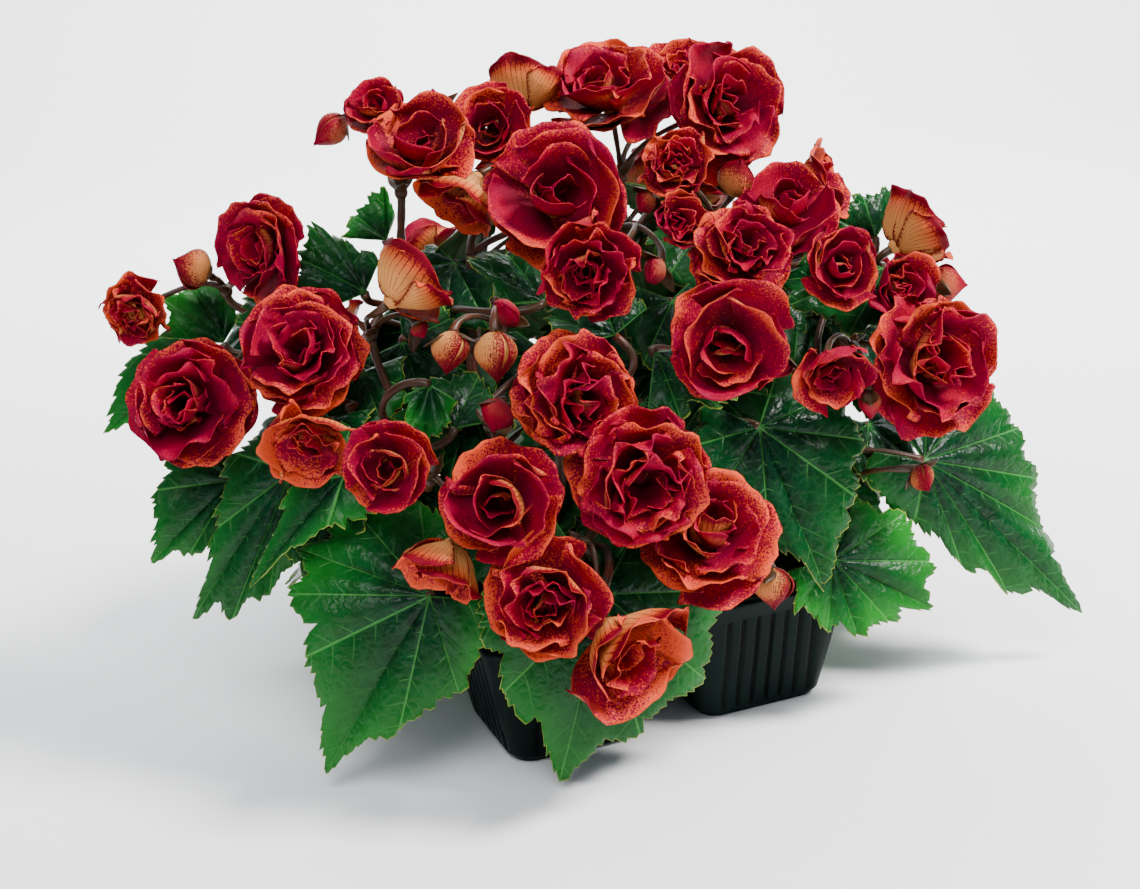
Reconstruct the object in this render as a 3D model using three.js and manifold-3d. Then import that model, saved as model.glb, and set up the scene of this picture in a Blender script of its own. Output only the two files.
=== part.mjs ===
// A tray of begonias in full bloom: four plants in a pack of four tapered cells.
// Millimetres, +Z up. The pack is square to X and Y, its front row faces -Y, and the origin is on the
// surface it stands on, under the middle of the whole plant.
import * as THREE from "three";
import { mergeVertices } from "three/addons/utils/BufferGeometryUtils.js";
import Module from "manifold-3d";

const wasm = await Module();
wasm.setup();

// ---- driving dimensions

const clearance = 0.3; // between pieces that touch
const pack = {
  height: 60,
  pitch: 88, // cell to cell
  base: 61, // cell width at the bottom
  top: 84, // cell width at the rim
  corner: 11, // corner radius
  wall: 2,
  foot: 3, // height of the foot
  footInset: 2,
  lip: 2.5, // rim flange past the cells
  rim: 2.5, // rim thickness
  band: 7, // smooth band under the rim
  grooves: 7, // on each outer face
  groovePitch: 7,
  grooveWidth: 1.6,
  grooveDepth: 1.1,
  drain: 5, // drain hole radius
};
const soil = { level: 53, crown: 3 };
const stem = { foot: 25, head: 76, radius: 5, shoot: 3.2, peduncle: 2.1, petiole: 2, pedicel: 1.4, knot: 4 };
const shootSteps = 3; // straight lengths of a shoot
const leafThickness = 1.1;
const petalThickness = 0.8;
const guardGap = 0.35; // kept between a growing piece and the ones already there

// The eye that the placements below are seen from: a point of the picture and how near it lies.
const eye = {
  middle: [570, 444.5],
  focal: 1767,
  distance: 840,
  aside: 12.7,
  above: 104.7,
  pitch: 19,
  roll: 3,
  heading: 21.3,
};

// ---- frames and vectors

const rad = THREE.MathUtils.degToRad;
const vec = (x, y, z) => new THREE.Vector3(x, y, z);
const mix = (a, b, t) => a.clone().lerp(b, t);
const up = vec(0, 0, 1);

// Turns a direction seen from the eye (right, away, up) into the pack's own axes.
function fromView(v) {
  return v.clone().applyAxisAngle(up, -rad(eye.heading));
}

// The place in the pack's frame that shows at [u, v] and lies `near` mm before the pack's middle.
function spot([u, v, near]) {
  const [ce, se] = [Math.cos(rad(eye.pitch)), Math.sin(rad(eye.pitch))];
  const [cr, sr] = [Math.cos(rad(eye.roll)), Math.sin(rad(eye.roll))];
  const [a, b] = [(u - eye.middle[0]) / eye.focal, (v - eye.middle[1]) / eye.focal];
  const [x, y] = [a * cr - b * sr, a * sr + b * cr];
  const z = (eye.above + near * se - y * (eye.distance - near * ce)) / (ce - y * se);
  const depth = eye.distance - near * ce - z * se;
  return fromView(vec(x * depth - eye.aside, -near, z));
}

// The direction that turns `turn` degrees right of the eye and `tilt` degrees up.
function facing([turn, tilt]) {
  const [t, l] = [rad(turn), rad(tilt)];
  return fromView(vec(Math.sin(t) * Math.cos(l), -Math.cos(t) * Math.cos(l), Math.sin(l)));
}

function seeded(seed) {
  let state = seed;
  return () => {
    state = (state * 1664525 + 1013904223) % 4294967296;
    return state / 4294967296;
  };
}

// ---- solids

function geometryOf(points, faces) {
  const geometry = new THREE.BufferGeometry();
  geometry.setAttribute("position", new THREE.Float32BufferAttribute(points.flatMap((p) => p.toArray()), 3));
  geometry.setIndex(faces.flat());
  return geometry;
}

function solid(geometry) {
  const bare = new THREE.BufferGeometry();
  const source = geometry.index ? geometry : mergeVertices(geometry);
  bare.setAttribute("position", source.getAttribute("position"));
  bare.setIndex(source.index);
  const merged = mergeVertices(bare, 1e-4);
  const faces = [];
  for (let i = 0; i < merged.index.count; i += 3) {
    const [a, b, c] = [0, 1, 2].map((k) => merged.index.getX(i + k));
    if (a !== b && b !== c && c !== a) faces.push(a, b, c);
  }
  const mesh = new wasm.Mesh({
    numProp: 3,
    vertProperties: merged.getAttribute("position").array,
    triVerts: new Uint32Array(faces),
  });
  const body = new wasm.Manifold(mesh);
  if (body.volume() <= 0) throw new Error("a solid is inside out");
  return body;
}

const unite = (solids) => wasm.Manifold.union(solids);

// The outer skin of a fused body: a hollow that the fusing sealed is filled.
function filled(name, body) {
  const shells = body.decompose().sort((a, b) => b.volume() - a.volume());
  if (shells.length > 1 && shells[1].volume() > 0) throw new Error(name + " is in two pieces");
  return shells[0];
}

function meshOf(name, body, material) {
  const { vertProperties, triVerts } = body.getMesh();
  const geometry = new THREE.BufferGeometry();
  geometry.setAttribute("position", new THREE.BufferAttribute(vertProperties, 3));
  geometry.setIndex(new THREE.BufferAttribute(triVerts, 1));
  geometry.computeVertexNormals();
  const mesh = new THREE.Mesh(geometry, material);
  mesh.name = name;
  return mesh;
}

// A stack of rings with equal counts, closed by a flat fan at each end.
function loft(rings) {
  const n = rings[0].length;
  const faces = [];
  for (let k = 0; k + 1 < rings.length; k++)
    for (let i = 0; i < n; i++) {
      const [a, b] = [k * n + i, k * n + ((i + 1) % n)];
      faces.push([a, b, b + n], [a, b + n, a + n]);
    }
  const last = (rings.length - 1) * n;
  for (let i = 1; i + 1 < n; i++) faces.push([0, i + 1, i], [last, last + i, last + i + 1]);
  return solid(geometryOf(rings.flat(), faces));
}

// A thin closed sheet: the faces of its upper side, the same faces on the points below, and a wall
// round the edge.
function sheet(points, below, faces) {
  const n = points.length;
  const walls = [];
  const key = (a, b) => a * n + b;
  const edges = new Set(faces.flatMap(([a, b, c]) => [key(a, b), key(b, c), key(c, a)]));
  for (const [a, b, c] of faces)
    for (const [p, q] of [[a, b], [b, c], [c, a]])
      if (!edges.has(key(q, p))) walls.push([q, p, p + n], [q, p + n, q + n]);
  const under = faces.map(([a, b, c]) => [c + n, b + n, a + n]);
  return solid(geometryOf([...points, ...below], [...faces, ...under, ...walls]));
}

// A stem along a curve in straight lengths, each knee cut square to the mean of its two lengths and
// the end square to the curve. Nothing, where the last length would run in across its own end.
function tube(curve, radius, sides, steps) {
  const knees = curve.getSpacedPoints(steps);
  const lengths = knees.slice(1).map((knee, k) => knee.clone().sub(knees[k]).normalize());
  const ways = knees.map((_, k) => mix(lengths[Math.max(0, k - 1)], lengths[Math.min(k, steps - 1)], 0.5).normalize());
  ways[steps] = curve.getTangent(1);
  if (ways[steps].dot(lengths[steps - 1]) < 0.45) return null;
  const side = vec(0.31, 0.87, 0.38); // any direction that no stem runs along
  const rings = knees.map((knee, k) => {
    side.projectOnPlane(ways[k]).normalize();
    const other = ways[k].clone().cross(side);
    return Array.from({ length: sides }, (_, i) => {
      const a = (i / sides) * 2 * Math.PI;
      return knee.clone().addScaledVector(side, radius * Math.cos(a)).addScaledVector(other, radius * Math.sin(a));
    });
  });
  return loft(rings);
}

// ---- clear growth: nothing new may enter what is there

const grown = []; // { owner, body, box }

function boxesMeet(a, b) {
  return [0, 1, 2].every((i) => a.min[i] <= b.max[i] && b.min[i] <= a.max[i]);
}

function isClear(guard, skip) {
  const box = guard.boundingBox();
  return grown.every(
    (g) => skip(g) || !boxesMeet(box, g.box) || guard.intersect(g.body).isEmpty(),
  );
}

function keep(owner, body, kind, name) {
  grown.push({ owner, body, kind, name, box: body.boundingBox() });
  return body;
}

// ---- the pack and its soil

// A square of the given half width with rounded corners, three points to a corner.
function square(half, corner, z, [cx, cy]) {
  const points = [];
  for (let side = 0; side < 4; side++)
    for (const step of [0, 0.5, 1]) {
      const a = ((side + step) * Math.PI) / 2;
      const [sx, sy] = [[1, 1], [-1, 1], [-1, -1], [1, -1]][side];
      const c = half - corner;
      points.push(vec(cx + sx * c + corner * Math.cos(a), cy + sy * c + corner * Math.sin(a), z));
    }
  return points;
}

const cellNames = { front_left: [-1, -1], front_right: [1, -1], back_left: [-1, 1], back_right: [1, 1] };
const cellMiddle = (name) => cellNames[name].map((side) => (side * pack.pitch) / 2);
const cellHalf = (z) => (pack.base + ((pack.top - pack.base) * z) / pack.height) / 2;

// One groove down an outer face: a wedge whose edge lies inside the wall.
function groove([cx, cy], quarter, along) {
  const bandFoot = pack.height - pack.rim - pack.band;
  const ring = (z) =>
    [[-1, 1], [1, 1], [0, -1]].map(([side, out]) => {
      const across = along + (side * pack.grooveWidth) / 2;
      const far = cellHalf(z) + out * pack.grooveDepth;
      const p = vec(far, across, z).applyAxisAngle(up, (quarter * Math.PI) / 2);
      return p.add(vec(cx, cy, 0));
    });
  return loft([ring(pack.foot + 1.5), ring(bandFoot)]);
}

function cell(name) {
  const middle = cellMiddle(name);
  const { height, foot, footInset, corner, wall } = pack;
  const ring = (z, inset) => square(cellHalf(z) - inset, corner - inset, z, middle);
  return {
    outside: loft([ring(0, footInset), ring(foot, footInset), ring(foot, 0), ring(height - pack.rim / 2, 0)]),
    inside: loft([ring(wall, wall + footInset), ring(height + 1, wall)]),
  };
}

function drain(name) {
  const [x, y] = cellMiddle(name);
  const hole = new THREE.CylinderGeometry(pack.drain, pack.drain, 4 * pack.wall, 8).rotateX(Math.PI / 2);
  return solid(hole.translate(x, y, 0));
}

function cellPack() {
  const names = Object.keys(cellNames);
  const cells = names.map(cell);
  const half = pack.pitch / 2 + cellHalf(pack.height) + pack.lip;
  const plate = (z) => square(half, pack.corner + pack.lip, z, [0, 0]);
  const rim = loft([plate(pack.height - pack.rim), plate(pack.height)]);
  const grooves = [];
  for (const name of names) {
    const [sx, sy] = cellNames[name];
    for (const quarter of [sx > 0 ? 0 : 2, sy > 0 ? 1 : 3])
      for (let i = 0; i < pack.grooves; i++) {
        const along = (i - (pack.grooves - 1) / 2) * pack.groovePitch;
        grooves.push(groove(cellMiddle(name), quarter, along));
      }
  }
  return unite([rim, ...cells.map((c) => c.outside)])
    .subtract(unite([...cells.map((c) => c.inside), ...grooves, ...names.map(drain)]));
}

function soilBody(name) {
  const middle = cellMiddle(name);
  const { wall, footInset, corner, height } = pack;
  const slope = (z) => wall + footInset * (1 - (z - wall) / (height + 1 - wall)) + clearance;
  const ring = (z, inset) => square(cellHalf(z) - inset, corner - inset, z, middle);
  const low = wall + clearance;
  const crown = soil.level + soil.crown;
  const body = loft([ring(low, slope(low)), ring(soil.level, slope(soil.level)), ring(crown, 3.5 * wall + slope(crown))]);
  const radius = stem.radius + clearance;
  const hole = new THREE.CylinderGeometry(radius, radius, crown, 6).rotateX(Math.PI / 2);
  hole.translate(middle[0], middle[1], stem.foot - clearance + crown / 2);
  return body.subtract(solid(hole));
}

// ---- leaves

// The way the upper side of a leaf looks, from the fan of its lobe tips.
function leafNormal(hub, tips) {
  const arms = tips.map((tip) => tip.clone().sub(hub));
  const sum = vec(0, 0, 0);
  for (let i = 0; i + 1 < arms.length; i++) sum.add(arms[i].clone().cross(arms[i + 1]));
  return sum.normalize();
}

// A point between two lobe tips, `t` of the way round and `reach` of the way out.
function between(hub, a, b, t, reach) {
  const [p, q] = [a.clone().sub(hub), b.clone().sub(hub)];
  const length = (1 - t) * p.length() + t * q.length();
  return p.lerp(q, t).normalize().multiplyScalar(length * reach).add(hub);
}

// A blade spread over its lobe tips. The edge runs in to a notch between two tips, with a tooth on
// each side of it on a toothed leaf, and the blade arches up between the veins.
function blade({ hub, tips, toothed }, swell = 0) {
  const normal = leafNormal(hub, tips);
  const inner = tips.map((tip) => mix(hub, tip, 0.5));
  const edge = [tips[0].clone()];
  const perGap = toothed ? 4 : 2;
  for (let i = 0; i + 1 < tips.length; i++) {
    const [a, b] = [tips[i], tips[i + 1]];
    const arch = 0.04 * (a.distanceTo(hub) + b.distanceTo(hub));
    const notch = between(hub, a, b, 0.5, 0.85).addScaledVector(normal, arch);
    if (toothed) edge.push(between(hub, a, b, 0.26, 0.97), notch, between(hub, a, b, 0.74, 0.97), b.clone());
    else edge.push(notch, b.clone());
  }
  if (swell) edge.forEach((p) => p.addScaledVector(p.clone().sub(hub).normalize(), swell));
  const faces = [];
  for (let i = 0; i + 1 < tips.length; i++) {
    const [a, e] = [1 + i, 1 + tips.length + perGap * i];
    const notch = e + perGap / 2;
    faces.push([0, a, a + 1], [a, notch, a + 1]);
    for (let k = e; k < notch; k++) faces.push([a, k, k + 1]);
    for (let k = notch; k < e + perGap; k++) faces.push([a + 1, k, k + 1]);
  }
  const points = [hub.clone(), ...inner, ...edge];
  points.forEach((p) => p.addScaledVector(normal, swell));
  const through = normal.multiplyScalar(leafThickness + 2 * swell);
  return sheet(points, points.map((p) => p.clone().sub(through)), faces);
}

// Lobe tips as seen from the eye, put in the order that turns the upper side outwards.
function seenLeaf({ hub, tips, toothed }) {
  const [middle, ends] = [spot(hub), tips.map(spot)];
  const outward = facing([0, 50]);
  return { hub: middle, tips: leafNormal(middle, ends).dot(outward) < 0 ? ends.reverse() : ends, toothed };
}

const lobes = [
  [-128, 0.5], [-84, 0.62], [-42, 0.8], [0, 1], [36, 0.86], [80, 0.6], [122, 0.52],
];

// A leaf of the common shape: it leaves the plant at `turn` degrees and hangs by `droop` degrees.
function commonLeaf({ turn, out, height, size, droop, lobeCount = lobes.length }) {
  const away = facing([turn, 0]);
  const hub = away.clone().multiplyScalar(out).setZ(height);
  const along = away.clone().multiplyScalar(Math.cos(rad(droop))).addScaledVector(up, -Math.sin(rad(droop)));
  const across = up.clone().cross(away);
  const skip = (lobes.length - lobeCount) / 2;
  const tips = lobes.slice(skip, lobes.length - skip).map(([angle, length]) => {
    const sag = 0.16 * size * length * length * (1 - Math.cos(rad(angle)) * 0.4);
    return hub.clone().addScaledVector(along, size * length * Math.cos(rad(angle)))
      .addScaledVector(across, size * length * Math.sin(rad(angle))).addScaledVector(up, -sag);
  });
  return { hub, tips };
}

// ---- blooms

// Petal rings from the outside in: how far they lean from the bloom's axis, how much the tip curls
// back to it, and their reach and their seat along the axis as shares of the bloom's radius.
const forms = {
  open: {
    back: 0.3,
    rings: [
      { petals: 5, lean: 80, curl: 24, reach: 1, seat: 0.16, heart: 0.34 },
      { petals: 3, lean: 46, curl: 30, reach: 0.56, seat: 0.32, heart: 0.6 },
    ],
  },
  cup: {
    back: 0.45,
    rings: [
      { petals: 4, lean: 64, curl: 34, reach: 1, seat: 0.16, heart: 0.34 },
      { petals: 3, lean: 34, curl: 24, reach: 0.46, seat: 0.32, heart: 0.6 },
    ],
  },
  rosette: {
    back: 0.4,
    rings: [
      { petals: 4, lean: 74, curl: 52, reach: 1, seat: 0.16, heart: 0.34 },
      { petals: 3, lean: 44, curl: 44, reach: 0.56, seat: 0.32, heart: 0.66 },
    ],
  },
  half: {
    back: 0.6,
    rings: [
      { petals: 4, lean: 50, curl: 26, reach: 1, seat: 0.16, heart: 0.34 },
      { petals: 2, lean: 26, curl: 20, reach: 0.4, seat: 0.32, heart: 0.7 },
    ],
  },
  bud: { back: 0.9, rings: [] },
};
const rootRadius = 0.16; // of the bloom's radius, where the petals of a ring part
const petalSpread = 0.92; // of its share of the ring, that a petal fills

// Where a bloom sits: its base, its radius, and the turn from its own axes to the pack's.
function bloomPlace({ centre, axis, across, form }, draw) {
  const turn = new THREE.Quaternion().setFromUnitVectors(up, axis);
  const radius = across / 2;
  const base = centre.clone().addScaledVector(axis, -radius * forms[form].back);
  const put = (p) => p.clone().applyQuaternion(turn).add(base);
  return { radius, base, axis, put, wave: [draw() - 0.4, draw() - 0.4], spin: draw() * 2 * Math.PI };
}

// The point on a ring where two petals part.
function parting({ radius }, ring, azimuth) {
  const r = rootRadius * radius;
  return vec(r * Math.cos(azimuth), r * Math.sin(azimuth), ring.seat * radius);
}

// A petal's outline, upper and lower: a belly, as wide as the wedge it shares its ring with, and a
// narrower waved tip that curls back to the axis.
function petalRim({ radius, wave }, ring, azimuth, { close, shrink }) {
  const [lean, tipLean] = [rad(ring.lean + close), rad(ring.lean + close - ring.curl)];
  const radial = vec(Math.cos(azimuth), Math.sin(azimuth), 0);
  const side = vec(-Math.sin(azimuth), Math.cos(azimuth), 0);
  const along = (a) => radial.clone().multiplyScalar(Math.sin(a)).addScaledVector(up, Math.cos(a));
  const inward = radial.clone().multiplyScalar(-Math.cos(lean)).addScaledVector(up, Math.sin(lean));
  const slope = 0.6 * Math.sin(lean) + 0.4 * Math.sin(tipLean);
  const length = shrink * radius * Math.min((ring.reach - rootRadius) / slope, 1.2 * ring.reach);
  const root = radial.clone().multiplyScalar(rootRadius * radius).setZ(ring.seat * radius);
  const belly = root.addScaledVector(along(lean), 0.6 * length);
  const tip = belly.clone().addScaledVector(along(tipLean), 0.4 * length);
  const wedge = Math.tan(Math.min(Math.PI / ring.petals, 0.9)) * petalSpread;
  const at = (p, share, lift) => {
    const half = Math.min(Math.hypot(p.x, p.y) * wedge, 0.55 * length);
    return p.clone().addScaledVector(side, share * half).addScaledVector(inward, lift * 0.25 * half);
  };
  const rim = [at(belly, -1, 0.6), at(tip, -0.62, wave[0]), at(tip, 0.62, wave[1]), at(belly, 1, 0.2)];
  return { rim, inward, belly };
}

// A ring of petals joined round a cone that points up to the bloom's heart and down to its base.
function corolla(place, ring, petals) {
  const n = petals.length;
  const { radius, put } = place;
  const points = [vec(0, 0, ring.heart * radius)];
  const below = [vec(0, 0, (ring.seat - rootRadius) * radius)];
  for (const { azimuth } of petals) {
    const p = parting(place, ring, azimuth - Math.PI / n);
    points.push(p);
    below.push(p.clone().addScaledVector(up, -petalThickness));
  }
  const faces = petals.map((_, i) => [0, 1 + i, 1 + ((i + 1) % n)]);
  petals.forEach(({ azimuth, fit }, i) => {
    if (!fit) return;
    const { rim, inward } = petalRim(place, ring, azimuth, fit);
    const [from, to, k] = [1 + i, 1 + ((i + 1) % n), points.length];
    points.push(...rim);
    below.push(...rim.map((p) => p.clone().addScaledVector(inward, -petalThickness)));
    faces.push([from, k, to], [to, k, k + 3], [k, k + 1, k + 3], [k + 1, k + 2, k + 3]);
  });
  return sheet(points.map(put), below.map(put), faces);
}

// The room that one petal takes, with a gap round it.
function petalRoom(place, ring, azimuth, fit) {
  const { rim, inward, belly } = petalRim(place, ring, azimuth, fit);
  const [from, to] = [-1, 1].map((side) => parting(place, ring, azimuth + (side * Math.PI) / ring.petals));
  const points = [from, ...rim, to];
  points.forEach((p) => {
    p.addScaledVector(p.clone().sub(belly).normalize(), guardGap).addScaledVector(inward, guardGap);
  });
  const below = points.map((p) => p.clone().addScaledVector(inward, -petalThickness - 2 * guardGap));
  return sheet(points.map(place.put), below.map(place.put), [[0, 1, 5], [5, 1, 4], [1, 2, 4], [2, 3, 4]]);
}

// A closed bud: an egg of six sides, every other one a petal's fold, that turns on its way up.
function budBody({ radius, put, spin }, swell = 0) {
  const levels = [[0.2, 0], [0.74, 0.62], [0.62, 1.25], [0.2, 1.75]];
  const rings = levels.map(([width, height], k) =>
    Array.from({ length: 6 }, (_, i) => {
      const r = radius * width * (i % 2 ? 0.82 : 1) + swell;
      const a = spin + ((i + 0.35 * k) / 6) * 2 * Math.PI;
      return put(vec(r * Math.cos(a), r * Math.sin(a), height * radius));
    }),
  );
  return loft(rings);
}

// A bloom's body. A petal that would enter something closes up or shrinks, and past that is left out.
function bloomBody(name, bloom, owner, draw) {
  const place = bloomPlace(bloom, draw);
  const isOwn = (g) => g.owner === owner;
  if (bloom.form === "bud") {
    if (!isClear(budBody(place, guardGap), isOwn)) throw new Error(name + " has no room");
    return { place, body: budBody(place) };
  }
  const tries = [[0, 1], [-14, 1], [8, 0.9], [-26, 0.9], [-14, 0.75], [-34, 0.7], [0, 0.6]];
  const fits = tries.map(([close, shrink]) => ({ close, shrink }));
  const rings = forms[bloom.form].rings.map((ring) => {
    const petals = Array.from({ length: ring.petals }, (_, i) => {
      const azimuth = place.spin + ((i + 0.5 * ring.seat) / ring.petals) * 2 * Math.PI;
      return { azimuth, fit: fits.find((fit) => isClear(petalRoom(place, ring, azimuth, fit), isOwn)) };
    });
    return corolla(place, ring, petals);
  });
  if (!isClear(rings[0], isOwn)) throw new Error(name + " has no room");
  return { place, body: unite(rings) };
}

// ---- stems

// A stem from one point to another that arrives along `arrive`, lifted and swayed on its way.
function route(from, to, arrive, lift, sway, straight = 0.32) {
  const span = from.distanceTo(to);
  const side = to.clone().sub(from).cross(up).normalize();
  const first = mix(from, to, 0.2).addScaledVector(up, span * lift).addScaledVector(side, span * sway);
  const second = to.clone().addScaledVector(arrive, -straight * span).addScaledVector(side, span * sway * 0.6);
  return new THREE.CubicBezierCurve3(from, first, second, to);
}

// The first bend of a stem that is clear of everything, or else of all but its own plant's leaves.
// It has `steps` straight lengths, or one or two more where it has to wind.
function stemBetween(name, owner, from, to, arrive, radius, steps, ownLeaf) {
  const bends = [];
  for (const lift of [0.3, 0.1, 0.5, -0.1, 0.75, -0.35, 1])
    for (const sway of [0, 0.15, -0.15, 0.35, -0.35, 0.6, -0.6, 0.9, -0.9])
      for (const straight of [0.32, 0.12]) bends.push(route(from, to, arrive, lift, sway, straight));
  const skips = [
    (g) => g.owner === owner && (g.kind === "stem" || g.name === ownLeaf),
    (g) => g.owner === owner,
  ];
  for (const skip of skips)
    for (const lengths of [steps, steps + 1, steps + 2]) {
      const curve = bends.find((bend) => {
        const guard = tube(bend, radius + guardGap, 3, lengths);
        return guard && isClear(guard, skip);
      });
      if (curve) return tube(curve, radius, 3, lengths);
    }
  throw new Error("no way for the stem of " + name);
}

// The point of a plant's shoots that a stem to `target` springs from: near it, and below it.
function springPoint(shoots, target) {
  let best = null;
  for (const shoot of shoots) {
    const knees = shoot.getSpacedPoints(shootSteps);
    for (let k = 0; k < shootSteps; k++)
      for (const t of [0.3, 0.6, 0.95]) {
        const p = mix(knees[k], knees[k + 1], t);
        const cost = p.distanceTo(target) + 2.5 * Math.max(0, p.z - target.z + 12);
        if (!best || cost < best.cost) best = { p, cost };
      }
  }
  return best.p;
}

// ---- the plants: what grows where, as [u, v, near] seen from the eye

const plants = {
  front_left: { shoots: [[470, 350, 45], [560, 440, 78], [400, 430, 55]] },
  front_right: { shoots: [[700, 340, 40], [820, 370, 35], [770, 470, 55]] },
  back_left: { shoots: [[310, 340, 8], [401, 250, 18], [470, 250, 0]] },
  back_right: { shoots: [[622, 200, -5], [740, 230, 5], [600, 260, -50], [760, 300, -60]] },
};

const seenLeaves = {
  apron_left: {
    plant: "front_left",
    toothed: true,
    hub: [430, 596, 106],
    tips: [
      [488, 600, 108], [459, 695, 115], [400, 730, 117], [324, 773, 112], [309, 655, 106],
      [288, 594, 98], [302, 550, 82], [350, 505, 72], [420, 500, 74], [470, 530, 84],
    ],
  },
  apron_middle: {
    plant: "front_left",
    toothed: true,
    hub: [603, 594, 112],
    tips: [
      [545, 505, 92], [478, 625, 118], [505, 690, 120], [562, 781, 122], [639, 730, 114],
      [705, 679, 102], [727, 590, 88], [650, 500, 80],
    ],
  },
  apron_inner: {
    plant: "front_right",
    hub: [650, 510, 62],
    tips: [[575, 525, 66], [600, 580, 84], [655, 598, 92], [705, 560, 80], [712, 500, 56], [660, 465, 42]],
  },
  apron_back: {
    plant: "front_left",
    hub: [515, 525, 60],
    tips: [[440, 520, 58], [455, 575, 78], [515, 600, 88], [575, 560, 76], [570, 500, 56], [500, 475, 44]],
  },
  left_low: {
    plant: "back_left",
    toothed: true,
    hub: [235, 480, 44],
    tips: [[245, 540, 52], [190, 553, 52], [149, 563, 50], [157, 490, 42], [173, 447, 34], [230, 425, 28]],
  },
  left_middle: {
    plant: "back_left",
    toothed: true,
    hub: [292, 470, 60],
    tips: [
      [318, 530, 64], [299, 556, 66], [267, 596, 68], [233, 617, 68], [191, 618, 64], [214, 530, 58],
      [233, 453, 50], [285, 425, 46],
    ],
  },
  left_high: {
    plant: "front_left",
    toothed: true,
    hub: [345, 475, 82],
    tips: [[385, 505, 90], [329, 524, 94], [248, 588, 90], [292, 482, 78], [300, 440, 68], [350, 420, 64]],
  },
  left_far: {
    plant: "back_left",
    hub: [190, 365, 18],
    tips: [[155, 420, 26], [103, 434, 18], [133, 350, 8], [175, 325, 2], [220, 330, 4]],
  },
  left_bright: {
    plant: "back_left",
    hub: [223, 343, 14],
    tips: [[165, 338, 20], [166, 300, 14], [190, 279, 6], [222, 280, 0], [240, 315, 4]],
  },
  left_olive: {
    plant: "back_left",
    hub: [365, 293, 34],
    tips: [[320, 312, 42], [290, 290, 38], [298, 256, 30], [307, 222, 20], [345, 240, 16], [382, 256, 18]],
  },
  left_inner: {
    plant: "back_left",
    hub: [300, 325, 40],
    tips: [[250, 350, 42], [233, 320, 36], [247, 300, 28], [285, 288, 24]],
  },
  pale_top: {
    plant: "back_left",
    hub: [386, 240, 6],
    tips: [[344, 238, 10], [352, 212, 6], [384, 187, 0], [397, 212, 0]],
  },
  right_great: {
    plant: "front_right",
    toothed: true,
    hub: [924, 460, 36],
    tips: [
      [863, 450, 38], [917, 520, 42], [961, 567, 40], [1012, 592, 34], [1083, 612, 22], [1047, 528, 14],
      [1039, 478, 10], [1020, 428, 4], [990, 375, -2], [930, 380, 2], [880, 400, 18],
    ],
  },
  right_middle: {
    plant: "front_right",
    toothed: true,
    hub: [759, 427, 70],
    tips: [
      [703, 402, 62], [696, 445, 74], [715, 500, 82], [770, 543, 86], [827, 592, 86], [857, 496, 74],
      [863, 440, 60], [840, 390, 50], [775, 375, 52],
    ],
  },
  right_low: {
    plant: "front_right",
    toothed: true,
    hub: [832, 560, 62],
    tips: [
      [845, 500, 46], [905, 513, 46], [934, 561, 50], [931, 608, 56], [890, 621, 66], [857, 636, 72],
      [829, 629, 76], [797, 612, 76], [792, 570, 70],
    ],
  },
  right_crest: {
    plant: "back_right",
    hub: [876, 238, 2],
    tips: [[846, 240, 8], [834, 218, 4], [862, 193, -4], [897, 187, -12], [888, 212, -8]],
  },
  right_upper: {
    plant: "front_right",
    hub: [885, 268, 26],
    tips: [[906, 322, 38], [852, 332, 44], [786, 306, 48], [776, 280, 40], [805, 250, 28]],
  },
  heart_right: {
    plant: "front_right",
    hub: [655, 352, 66],
    tips: [[648, 408, 90], [680, 415, 92], [718, 405, 88], [741, 400, 82], [705, 345, 62]],
  },
  heart_bright: {
    plant: "front_left",
    hub: [430, 385, 78],
    tips: [[403, 395, 82], [408, 430, 88], [425, 443, 90], [449, 430, 88], [454, 398, 82]],
  },
  heart_high: {
    plant: "back_left",
    hub: [545, 302, 44],
    tips: [[503, 305, 50], [465, 258, 36], [505, 248, 26], [545, 262, 24]],
  },
  heart_low: {
    plant: "front_left",
    hub: [455, 440, 66],
    tips: [[415, 470, 74], [395, 430, 60], [425, 395, 48], [480, 385, 44], [505, 430, 60]],
  },
  heart_left: {
    plant: "back_left",
    hub: [405, 345, 20],
    tips: [[345, 372, 24], [372, 415, 30], [430, 420, 32], [470, 375, 26], [455, 320, 14], [400, 300, 8]],
  },
  heart_middle: {
    plant: "front_left",
    hub: [615, 335, 40],
    tips: [[560, 350, 54], [545, 315, 40], [600, 290, 24], [650, 305, 30]],
  },
};

// Leaves on the far side, by the common shape.
const hiddenLeaves = {
  back_1: { plant: "back_left", turn: 258, out: 92, height: 92, size: 80, droop: 34 },
  back_2: { plant: "back_left", turn: 228, out: 94, height: 96, size: 86, droop: 40 },
  back_3: { plant: "back_left", turn: 196, out: 88, height: 100, size: 78, droop: 36 },
  back_4: { plant: "back_right", turn: 166, out: 94, height: 104, size: 86, droop: 34 },
  back_5: { plant: "back_right", turn: 136, out: 104, height: 96, size: 84, droop: 36 },
  back_6: { plant: "back_right", turn: 106, out: 104, height: 86, size: 82, droop: 34 },
  back_high_1: { plant: "back_left", turn: 212, out: 66, height: 150, size: 56, droop: 14, lobeCount: 5 },
  back_high_2: { plant: "back_right", turn: 150, out: 74, height: 148, size: 58, droop: 14, lobeCount: 5 },
};

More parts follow.
